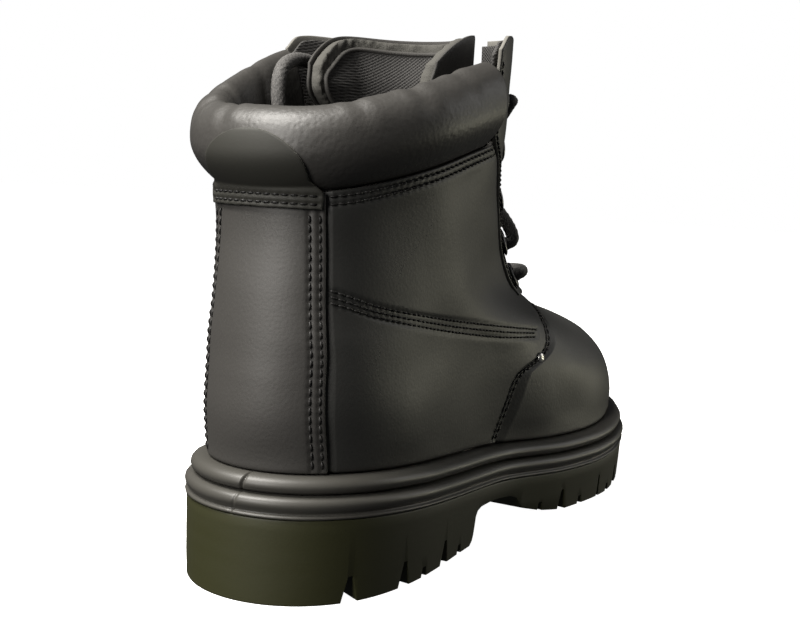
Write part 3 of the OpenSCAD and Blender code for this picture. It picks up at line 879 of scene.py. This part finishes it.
def make_eyestay(side):
    name = SIDE_NAME[side]
    top = 198 if side > 0 else 197
    shares = steps(46)[:: side]
    for piece_name, off, thick, low, high, trim in (
        (f"eyestay_leather_{name}", 1.2, LEATHER_T, 93, top, 0),
        (f"eyestay_mesh_{name}", -1.8, LINING_T, 96.5, top - 2, 1),
    ):
        def turn(u, z):
            wide = np.maximum(eyestay_width(z) - trim * curve([158, 164], [8, 0.5], z), EYESTAY_LEAST)
            return side * (front_edge(z) - wide * (1 - u))

        u, v = np.meshgrid(shares, steps(118), indexing="ij")
        slope = curve([0, 0.15, 0.6, 1], [8, 2.5, 1, 0], u)
        z = low + v * (high - slope - low)
        a = turn(u, z)
        gone = around_eyelets(skin(a, z), side, 4.3)
        if trim:
            cut_panel(piece_name, a, z, off, thick, BOOT, "mesh", [f"eyestay_lining_{name}"],
                      swell=0.1, gone=gone, edge="mesh")
        else:
            rows = eyestay_rows(side, top)
            cut_panel(piece_name, a, z, off, thick, BOOT, "upper_leather",
                      [f"eyestay_{name}"], rows, swell=0.15, gone=gone, edge="raw_edge", depth=0.45)
            stitches(f"eyestay_stitches_{name}", rows, BOOT)


# ------------------------------------------------------------------------------ collar and tab
ROLL_OUT, ROLL_IN = 7.0, 9.6
ROLL = np.array([
    [-2.9, -0.2], [-2.9, -0.02], [0.5, 0.06], [ROLL_OUT * 0.6, 0.2], [ROLL_OUT * 0.92, 0.35], [ROLL_OUT, 0.5],
    [ROLL_OUT * 0.86, 0.7], [ROLL_OUT * 0.5, 0.86], [0, 0.96], [-3.5, 1], [-6.5, 0.95], [1 - ROLL_IN, 0.83],
    [-ROLL_IN, 0.6], [-ROLL_IN, 0.3], [0.4 - ROLL_IN, 0], [0.8 - ROLL_IN, -0.3],
])
DENTS = [(-62, 0.7), (-84, 0.6), (14, 0.5), (38, 0.8), (55, 0.6), (-38, 0.4), (82, 0.3)]


def roll_foot(turn):
    """Height of the collar's seam and how far the roll rises over it."""
    z = settle(lambda at: turn, collar_seam, collar_seam, np.zeros(np.shape(turn)))
    return z, crest(turn, skin(turn, z)[..., 0]) - z


def roll_rings(turns, inset, samples, ends):
    """Rings of the padded roll, inset from its face, rounded off towards both ends if ends is set."""
    z, rise = roll_foot(turns)
    profile = spline(ROLL * [1, 30], 0.5)
    pick = np.linspace(0, len(profile) - 1, samples)
    profile = np.stack([np.interp(pick, np.arange(len(profile)), profile[:, k]) for k in (0, 1)], -1)
    flat = np.stack([
        np.broadcast_to(profile[:, 0], (len(turns), samples)), profile[:, 1] / 30 * rise[:, None],
    ], -1)
    along = unit(np.gradient(flat, axis=1))
    normal = np.stack([along[..., 1], -along[..., 0]], -1)
    height = flat[..., 1] / rise[:, None]
    puff = wrinkles(turns[:, None], height, profile[:, 0])
    flat = flat + normal * (puff - inset)[..., None]
    if ends:
        left = np.clip((COLLAR_END - abs(turns)) / COLLAR_ROUND, 0, 1)
        size = np.sqrt(1 - (1 - left) ** 2) * 0.97 + 0.03
        centre = np.stack([np.full(len(turns), -1.5), 0.45 * rise], -1)[:, None]
        flat = centre + (flat - centre) * size[:, None, None]
    foot = skin(turns[:, None], z[:, None] + flat[..., 1])
    return foot + flat[..., :1] * flat_outward(turns, z)[:, None]


def wrinkles(turn, height, off):
    """Fullness of the padding: swells between pinches on the crest and folds on the inside."""
    on_top = smooth_step((height - 0.62) / 0.25)
    inside = smooth_step((-off[None] - 2) / 4) * smooth_step((height - 0.05) / 0.2)
    total = 0.22 * np.sin(np.radians(turn * 7.3 + 40)) * on_top
    total = total + 0.12 * np.sin(np.radians(turn * 13 + 25 * height + 80)) * inside
    for at, depth in DENTS:
        lean = turn - at - 7 * (height - 0.9)
        total = total - depth * np.exp(-(lean / 2.6) ** 2) * np.maximum(on_top * 0.8, inside)
        total = total + 0.45 * depth * np.exp(-((abs(lean) - 5.5) / 2.6) ** 2) * np.maximum(on_top, inside)
    return total


def make_collar():
    near_end = COLLAR_END - COLLAR_ROUND * (1 - np.cos(np.linspace(0, math.pi / 2, 9)[1:]))[::-1]
    between = np.linspace(COLLAR_ROUND - COLLAR_END, COLLAR_END - COLLAR_ROUND, 300)[1:-1]
    turns = np.concatenate([-near_end[::-1], between, near_end])
    outer = roll_rings(turns, 0, 84, True)
    inner = roll_rings(turns, LINING_T, 84, True)
    faces = shell_faces(*outer.shape[:2])
    cover = piece("collar_roll", np.stack([outer, inner]), list(faces), BOOT,
                  ["collar_leather", "dark_edge", "dark_edge"], ["collar_cover"])
    rings = roll_rings(turns[4:-4], LINING_T + 0.3, 84, True)[:, 8:-6]
    foam = ring_solid("collar_filling", rings, BOOT, "collar_foam", ["collar_foam"])


def roll_face(turn, z, proud):
    """Points on the outer face of the roll, or of the backstay under it, standing proud of it."""
    seam, rise = roll_foot(turn)
    height = (z - seam) / rise
    face = curve(ROLL[1:9, 1], ROLL[1:9, 0], height)
    off = np.maximum(face, 0.7) + proud
    return skin(turn, z) + off[..., None] * flat_outward(turn, seam)


TAB_HALF, TAB_LOW, TAB_SIDE, TAB_TOP = 25.5, 129.0, 134.0, 153.6


def make_heel_tab():
    """The tab sewn over the top of the backstay and up the back of the roll, with a round top."""
    u, v = np.meshgrid(2 * steps(70) - 1, steps(64), indexing="ij")
    z_row = TAB_LOW + v * (TAB_TOP - TAB_LOW)
    arch = np.sqrt(np.clip(1 - (np.clip(z_row - TAB_SIDE, 0, None) / (TAB_TOP - TAB_SIDE + 0.02)) ** 2, 0, 1))
    turn = u * curve([TAB_LOW, 134.5, 138], [TAB_HALF, TAB_HALF, TAB_HALF - 4.5], z_row) * arch
    rows = []
    for z in (133.2, 130.6):
        line = np.linspace(-24, 24, 120)
        level = np.full(line.shape, z)
        rows.append(Row(roll_face(line, level, 1.55), flat_outward(line, level)))
    base = roll_face(turn, z_row, 0)
    edges = np.minimum(edge_distance(base), TAB_TOP + 0.1 - z_row)
    frayed = 0.12 * unevenness(base, 2.2, 21)
    face = 1.7 - 0.35 * (1 - np.clip(edges / 0.9, 0, 1)) ** 2
    outer = roll_face(turn, z_row, face)
    outer -= groove(outer, rows, 0.5, 0.8)[..., None] * flat_outward(turn, z_row)
    rim = (edges < 0.15)[..., None] * frayed[..., None]
    outer += rim * flat_outward(turn, z_row)
    inner = roll_face(turn, z_row, 0.3)
    faces = shell_faces(*turn.shape)
    piece("heel_tab_leather", np.stack([outer, inner]), list(faces), BOOT,
          ["tab_leather", "dark_edge", "raw_edge"], ["heel_tab"])
    stitches("heel_tab_stitches", rows, BOOT)


# ------------------------------------------------------------------------------ tongue
def tongue_off(turn):
    return -curve([0, 20, 32, 48, 60, 75, 90], [7.8, 10.2, 11.8, 13.4, 15.6, 17.5, 18.5], abs(180 - turn))


def tongue_wide(z):
    return curve([92, 104, 120, 150, 168, 181], [20, 30, 42, 62, 86, 84], z)


def tongue_top(share):
    return 198 - 17 * abs(share) ** 4


def tongue_grid(trim, columns=110, rows=110):
    u, v = np.meshgrid(2 * steps(columns) - 1, steps(rows), indexing="ij")
    z = 94 + trim + v * (tongue_top(u) - 94 - 2 * trim)
    return 180 + u * (tongue_wide(z) - trim), z


def tongue_layer(name, off, thick, trim, look, edge, replaces=(), crown=0.0, rough=0.0, rows=()):
    """A layer of the tongue; crown puffs its back face out, away from the edges."""
    turn, z = tongue_grid(trim)
    base = skin(turn, z)
    out = outward(turn, z)
    edges = edge_distance(base)
    round_edge = (1 - np.clip(edges / 1.6, 0, 1)) ** 2
    full = crown * smooth_step(edges / 14)
    lumps = rough * unevenness(base, 3.4, 31) * (1 - smooth_step(edges / 6))
    face = tongue_off(turn) + off - 0.45 * round_edge * min(1, thick / 2)
    back = tongue_off(turn) + off - thick + 0.45 * round_edge * min(1, thick / 2) - full - lumps
    outer = base + face[..., None] * out
    inner = base + back[..., None] * out
    if rows:
        inner += groove(inner, rows, 0.6, 0.9)[..., None] * out
    faces = shell_faces(*turn.shape)
    return piece(name, np.stack([outer, inner]), list(faces), TONGUE, [look, edge, edge], replaces)


def tongue_binding(trim, off):
    """The dark corded edge of the mesh panel."""
    side_z = np.linspace(120, tongue_top(1) - trim, 60)
    wide = tongue_wide(side_z) - trim
    left = np.stack([180 - wide, side_z], -1)
    u = np.linspace(-1, 1, 120)[1:-1]
    top_z = tongue_top(u) - trim
    top = np.stack([180 + u * (tongue_wide(top_z) - trim), top_z], -1)
    right = np.stack([180 + wide, side_z], -1)[::-1]
    line = np.concatenate([left, top, right])
    points = on_skin(line[:, 0] % 360, line[:, 1], tongue_off(line[:, 0]) + off)
    tube("tongue_binding", spline(evenly(points, 3), 0.8), lambda angle, run: 0.95 + 0 * run, 12,
         TONGUE, "dark_edge")


def make_tongue():
    cover = tongue_layer("tongue_leather_cover", 0, LINING_T, 0, "tongue_leather",
                         "dark_edge", ["tongue_cover"])
    foam = tongue_layer("tongue_foam", -LINING_T - 0.15, 4.2, 1.2, "foam", "foam",
                        ["tongue_padding"], crown=0.5, rough=0.45)
    mesh = tongue_layer("tongue_mesh", -LINING_T - 4.6, 0.9, 5.2, "mesh", "mesh", crown=1.6)
    tongue_binding(5.2, -LINING_T - 5.0)


# ------------------------------------------------------------------------------ linings and footbed
def make_linings():
    turn, z = panel_points(2 * steps(120) - 1, steps(40),
                           lambda u, at: 180 + u * (throat_half(np.minimum(at, 88)) + 12),
                           bottom, lambda x: 90 + 0 * x)
    cut_panel("vamp_lining_cloth", turn, z, -6.9, LINING_T, BOOT, "lining", ["vamp_lining"],
              swell=0.15, edge="lining")

    def back_turn(u, at):
        low = front_edge(at) - 15
        high = quarter_edge(at) - curve([90, 96], [15, 4], at)
        return u * np.where(at < 90, low, high)

    turn, z = panel_points(2 * steps(150) - 1, steps(56), back_turn, bottom, lambda x: collar_seam(x) - 3)
    cut_panel("quarter_lining_cloth", turn, z, -5.3, LINING_T, BOOT, "lining", ["quarter_lining"],
              swell=0.15, edge="lining")


def plan_stations(spacing):
    """Turns round the whole sole, about spacing apart along its edge."""
    turns = np.linspace(-180, 180, 3601)
    line = skin(turns, PLAN_Z) + SOLE_OUT * flat_outward(turns, PLAN_Z)
    run = run_along(line)
    count = int(run[-1] / spacing)
    return np.interp(np.linspace(0, run[-1], count, endpoint=False), run, turns)


def plan(turn, off):
    """Points of the sole's plan, standing out from the skin by off."""
    turn, off = np.broadcast_arrays(np.asarray(turn, float), np.asarray(off, float))
    return (skin(turn, PLAN_Z) + off[..., None] * flat_outward(turn, PLAN_Z))[..., :2]


def make_footbed():
    """A removable footbed, cupped a little at its edges, under a woven top cloth."""
    turns = plan_stations(3)
    share = np.array([1, 0.985, 0.94, 0.86, 0.72, 0.5, 0.25, 0.04])
    ring = plan(turns[:, None], -11.0)
    spine = np.stack([ring[..., 0], 0 * ring[..., 0]], -1)
    centre = np.array([95.0, 0.0])
    spine[..., 0] = centre[0] + (ring[..., 0] - centre[0]) * 0.72
    flat = spine + (ring - spine) * share[None, :, None]
    lift = 7.6 + 0.9 * smooth_step((share - 0.55) / 0.4) - 0.9 * smooth_step((share - 0.97) / 0.03)
    top = np.concatenate([flat, feather(flat[..., :1]) + WELT_LOW + lift[None, :, None]], -1)
    low = np.concatenate([flat, feather(flat[..., :1]) + WELT_LOW + 2.8 + 0 * lift[None, :, None]], -1)
    rings = np.concatenate([low[:, ::-1], top], 1)
    n, m = rings.shape[:2]
    ids = np.arange(n * m).reshape(n, m)
    ahead = np.roll(ids, -1, 0)
    faces = np.stack([ids[:, :-1], ids[:, 1:], ahead[:, 1:], ahead[:, :-1]], -1)
    close = np.stack([ids[:, -1], ids[:, 0], ahead[:, 0], ahead[:, -1]], -1)
    made = piece("footbed_pad", rings, [faces.reshape(-1, 4), close], INSOLE,
                 ["footbed", "footbed"], ["footbed"])


# ------------------------------------------------------------------------------ sole
WELT_PROFILE = [
    (-5.6, -1.0), (-3, -0.55), (0.4, -0.5), (2.4, -0.45), (4.2, -0.75), (5.5, -1.5), (6.3, -2.6), (6.5, -3.7),
    (6.1, -4.8), (5.1, -5.7), (3.6, -6.15), (0, -6.2), (-5.6, -6.2),
]
MIDSOLE_PROFILE = [
    (-8, -6.4), (3.4, -6.35), (4.8, -6.5), (6.2, -6.75), (7.3, -7.3), (8.0, -8.2), (8.2, -9.3), (7.9, -10.4),
    (7.2, -11.3), (6.7, -11.9), (6.75, -12.3), (7.5, -12.5), (8.0, -12.9), (7.9, -13.5), (7.2, -13.85),
    (-8, -13.9),
]


def bead(name, profile, replaces, joint):
    """A moulded bead round the sole, with the butt joint of its strip at the heel."""
    turns = plan_stations(1.5)
    turns = np.unique(np.concatenate([turns, np.arange(-6, 0, 0.15)]))
    off, low = np.array(profile, float).T
    flat = plan(turns[:, None], off[None])
    slant = turns[:, None] + 3.1 + 0.22 * low[None]
    notch = joint * np.exp(-(slant / 0.35) ** 2) * (off[None] > 2)
    waver = 0.14 * unevenness(np.concatenate([flat, low[None, :, None] + 0 * flat[..., :1]], -1), 26, 41)
    flat = plan(turns[:, None], off[None] - notch + waver * (off[None] > 2))
    z = feather(flat[..., 0]) + low[None] - 0.25 * notch
    rings = np.concatenate([flat, z[..., None]], -1)
    return piece(name, rings, [looped_faces(*rings.shape[:2])], BOOT, ["bead_rubber"], replaces)


def make_beads():
    bead("welt_bead", WELT_PROFILE, ["welt"], 1.3)
    bead("midsole_bead", MIDSOLE_PROFILE, ["midsole"], 0.35)


TREAD = [
    (-70, 0), (BREAST_X - 2.6, 0), (BREAST_X - 0.4, 1.6), (BREAST_X + 0.4, 4),
    (BREAST_X + 1.2, WAIST_Z - 2), (BREAST_X + 2.6, WAIST_Z), (BREAST_X + 6, WAIST_Z + 1),
    (82, WAIST_Z + 1), (96, WAIST_Z - 0.2),
    (101, WAIST_Z - 2), (103.4, 8), (106, 5.6), (118, 2.5), (135, 0), (180, 0), (205, 1.5), (230, 4.5),
    (250, 8.5), (275, 16),
]
TO_TOE, TO_INNER = np.array([1.0, 0, 0]), np.array([0, 1.0, 0])
LARGE_NOTCHES = [-29, -44.2, -59.2, -101.6, -127, -139, -151, -163]
SMALL_NOTCHES = [-51.1, -65.9, -95.2, -108, -121, -133, -145, -157]
THIN_NOTCHES = [-115.6]


def prism(outline, start, along, across, length):
    """A solid with outline (across, up) pushed from start along a level direction."""
    outline = np.asarray(outline, float)
    near = start + outline[:, :1] * across + outline[:, 1:] * np.array([0, 0, 1.0])
    both = np.stack([near, near + length * along])
    m = len(outline)
    wall = [[k, (k + 1) % m, m + (k + 1) % m, m + k] for k in range(m)]
    return both.reshape(-1, 3), wall + [list(range(m))[::-1], [m + k for k in range(m)]]


def notch_cutters():
    """Wedges that cut the lugs apart, on both sides, and channels across the middle of the tread."""
    made = []
    for notches, wide, narrow, tall, deep in (
        (LARGE_NOTCHES, 6.4, 2.0, 9.0, 24), (SMALL_NOTCHES, 3.6, 2.4, 3.6, 13),
        (THIN_NOTCHES, 2.4, 1.2, 10.0, 20),
    ):
        shape = [
            (-wide / 2, -3), (wide / 2, -3), (wide / 2, 0),
            (narrow / 2, tall), (-narrow / 2, tall), (-wide / 2, 0),
        ]
        for turn in notches:
            for side in (LATERAL, MEDIAL):
                a = side * turn
                out = flat_outward(a, PLAN_Z)
                at = np.append(plan(a, SOLE_OUT + 4), 0.0)
                at[2] = tread_height(at[0] - 4 * out[0])
                made.append(prism(shape, at, -out, np.cross([0, 0, 1.0], out), deep))
    for x in (24, 44, 122, 144, 166, 188, 210):
        half = 16 if x < 100 else 19
        floor = tread_height(x)
        bar = [(-2.4, -3), (2.4, -3), (1.6, 4.6), (-1.6, 4.6)]
        made.append(prism(bar, np.array([x, -half, floor]), TO_INNER, TO_TOE, 2 * half))
    return made


def tread_height(x):
    xs, zs = np.array(TREAD).T
    return float(np.interp(x, xs, zs))


def plain_mesh(name, solids):
    """An undressed mesh object of several closed solids, each wound outwards."""
    work = bmesh.new()
    for points, faces in solids:
        verts = [work.verts.new(p) for p in np.asarray(points) * MM]
        for face in faces:
            work.faces.new([verts[k] for k in face])
    bmesh.ops.recalc_face_normals(work, faces=work.faces)
    mesh = bpy.data.meshes.new(name)
    work.to_mesh(mesh)
    work.free()
    made = add_object(name, mesh)
    return made


def cut_with(target, tool, operation):
    change = target.modifiers.new(operation, "BOOLEAN")
    change.operation = operation
    change.solver = "EXACT"
    change.object = tool
    apply_modifiers(target)
    bpy.data.objects.remove(tool)


def apply_modifiers(target):
    bpy.context.view_layer.update()
    graph = bpy.context.evaluated_depsgraph_get()
    mesh = bpy.data.meshes.new_from_object(target.evaluated_get(graph))
    target.modifiers.clear()
    target.data = mesh


def make_outsole():
    """The lugged outsole: a smooth wall, cut to the tread's line and then between its lugs."""
    turns = plan_stations(2.2)
    rings = []
    for off, below, cap in (
        (6.6, 0.1, np.inf), (7.4, 0.15, np.inf), (7.55, 0.7, np.inf), (7.4, 4.1, np.inf),
        (7.0, 6, 8.0), (6.6, 6, 0.6), (6.5, 6, -6.0),
    ):
        flat = plan(turns, off)
        foot = feather(flat[:, 0]) + MIDSOLE_LOW
        rings.append(np.column_stack([flat, np.minimum(foot - below, cap)]))
    count = len(turns)
    points = np.concatenate(rings)
    faces = [
        [k * count + i, k * count + (i + 1) % count, (k + 1) * count + (i + 1) % count, (k + 1) * count + i]
        for k in range(len(rings) - 1) for i in range(count)
    ]
    faces.append(list(range(count)))
    faces.append([(len(rings) - 1) * count + i for i in range(count)][::-1])
    sole = plain_mesh("outsole_lugs", [(points, faces)])
    above = [(275, 70), (-70, 70)]
    line = prism(list(TREAD) + above, np.array([0, -90.0, 0]), TO_INNER, TO_TOE, 180)
    cut_with(sole, plain_mesh("tread_line", [line]), "INTERSECT")
    cut_with(sole, plain_mesh("notches", notch_cutters()), "DIFFERENCE")
    edge = sole.modifiers.new("edge", "BEVEL")
    edge.width = 0.45 * MM
    edge.segments = 2
    edge.limit_method = "ANGLE"
    edge.angle_limit = math.radians(38)
    edge.use_clamp_overlap = True
    apply_modifiers(sole)
    sole.data.materials.clear()
    sole.data.materials.append(MATERIALS["sole_rubber"])
    sole.data.polygons.foreach_set("use_smooth", np.ones(len(sole.data.polygons), bool))
    mark_sharp(sole.data, 24)
    dress(sole, BOOT, ["outsole"])


# ------------------------------------------------------------------------------ metalwork and carried nodes
def lathe(profile, turn, z, sides=40):
    """Points and faces of a closed ring turned round the skin's direction out."""
    out = outward(turn, z)
    side = unit(np.cross(out, [0, 0, 1.0]))
    up = np.cross(side, out)
    angle = np.linspace(0, 2 * math.pi, sides, endpoint=False)[:, None, None]
    r, h = (np.array(profile, float)[:, k][None, :, None] for k in (0, 1))
    points = skin(turn, z) + h * out + r * (np.cos(angle) * side + np.sin(angle) * up)
    return points.reshape(-1, 3), looped_faces(*points.shape[:2])[:, [0, 3, 2, 1]]


def make_eyelets(side):
    profile = [
        (3.1, -3.4), (3.1, 1.6), (3.25, 2.2), (3.7, 2.6), (4.5, 2.65), (5.3, 2.4), (5.85, 1.95), (6.0, 1.6),
        (5.6, 1.45), (3.55, 1.4), (3.5, -3.2), (4.6, -3.35),
        (4.9, -3.6), (4.6, -3.85), (3.7, -3.9), (3.2, -3.7),
    ]
    points, faces, count = [], [], 0
    for z in EYELET_Z:
        p, f = lathe(profile, side * (front_edge(z) - EYELET_BACK), z)
        points.append(p)
        faces.append(f + count)
        count += len(p)
    name = SIDE_NAME[side]
    piece(f"eyelet_rings_{name}", np.concatenate(points), [np.concatenate(faces)], BOOT,
          ["eyelet_metal"], [f"eyelets_{name}"])


def make_rivet(side):
    """A small domed rivet in the tip of the quarter."""
    profile = [(0.02, 0.2), (0.02, 1.25), (0.8, 1.2), (1.5, 1.0), (2.1, 0.65), (2.3, 0.3), (2.2, 0.2)]
    points, faces = lathe(profile, side * (front_edge(68) - 1.5), 68)
    name = SIDE_NAME[side]
    piece(f"rivet_dome_{name}", points, [faces], BOOT, ["rivet_metal"], [f"tip_rivet_{name}"])


def carry_over(node, look):
    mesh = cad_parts[node].data
    mesh.materials.clear()
    mesh.materials.append(MATERIALS[look])


def make_inner_parts():
    for node, look in (
        ("shank", "spring_steel"), ("insole_board", "board"), ("toe_cap", "toe_steel"),
        ("toe_cap_trim", "trim_rubber"), ("heel_counter", "counter_fibre"),
    ):
        carry_over(node, look)


# ------------------------------------------------------------------------------ stage and light
def make_floor():
    size = 6.0
    corners = [(-size, -size, 0), (size, -size, 0), (size, size, 0), (-size, size, 0)]
    mesh = bpy.data.meshes.new("floor")
    mesh.from_pydata([(x, y, -0.0002) for x, y, _ in corners], [], [(0, 1, 2, 3)])
    made = Shader("floor_paint", (0.86, 0.86, 0.85), 0.9, specular=0.1)
    made.colour(made.ramp(made.noise(3, 2), (0.85, 0.85, 0.84), (0.88, 0.88, 0.87)))
    made.shade.inputs["Emission Color"].default_value = (1, 1, 1, 1)
    made.shade.inputs["Emission Strength"].default_value = 1.0
    mesh.materials.append(MATERIALS["floor_paint"])
    floor = add_object("floor", mesh)
    floor.visible_glossy = False
    floor.visible_diffuse = False


def lamp(name, place, target, size, power, colour):
    data = bpy.data.lights.new(name, "AREA")
    data.shape = "RECTANGLE"
    data.size, data.size_y = size
    data.energy = power
    data.color = colour
    made = add_object(name, data)
    made.location = place
    made.rotation_mode = "QUATERNION"
    made.rotation_quaternion = (Vector(target) - Vector(place)).to_track_quat("-Z", "Y")


def make_light():
    """A soft key over the heel, a strip behind it, a toe fill, a low warm bounce and a dim room."""
    bpy.context.scene.view_settings.view_transform = "Standard"
    centre = (0.08, 0, 0.1)
    lamp("key", (-0.45, 0.35, 1.15), centre, (0.6, 0.6), 40, (1.0, 0.97, 0.92))
    lamp("heel_strip", (-1.3, 0.15, 0.6), centre, (0.5, 0.7), 18, (1.0, 0.97, 0.93))
    lamp("toe_fill", (1.2, -0.9, 0.6), centre, (0.6, 0.6), 2.6, (1.0, 0.98, 0.95))
    lamp("ground_bounce", (1.1, -0.75, 0.05), (0.22, -0.04, 0.03), (0.5, 0.08), 1.6, (1.0, 0.96, 0.74))
    world = bpy.data.worlds.new("room")
    bpy.context.scene.world = world
    world.use_nodes = True
    tree = world.node_tree
    dim, bright = tree.nodes["Background"], tree.nodes.new("ShaderNodeBackground")
    dim.inputs["Color"].default_value = (0.93, 0.96, 1, 1)
    dim.inputs["Strength"].default_value = 0.045
    bright.inputs["Color"].default_value = (1, 1, 1, 1)
    bright.inputs["Strength"].default_value = 1.0
    seen = tree.nodes.new("ShaderNodeLightPath")
    mix = tree.nodes.new("ShaderNodeMixShader")
    tree.links.new(seen.outputs["Is Camera Ray"], mix.inputs["Fac"])
    tree.links.new(dim.outputs[0], mix.inputs[1])
    tree.links.new(bright.outputs[0], mix.inputs[2])
    tree.links.new(mix.outputs[0], tree.nodes["World Output"].inputs["Surface"])


def main():
    make_camera()
    make_materials()
    for side in (LATERAL, MEDIAL):
        make_lace_end(side)
    make_lace()
    make_backstay()
    make_vamp()
    for side in (LATERAL, MEDIAL):
        make_quarter(side)
        make_eyestay(side)
        make_eyelets(side)
        make_rivet(side)
    make_collar()
    make_heel_tab()
    make_tongue()
    make_linings()
    make_footbed()
    make_beads()
    make_outsole()
    make_inner_parts()
    make_floor()
    make_light()


main()
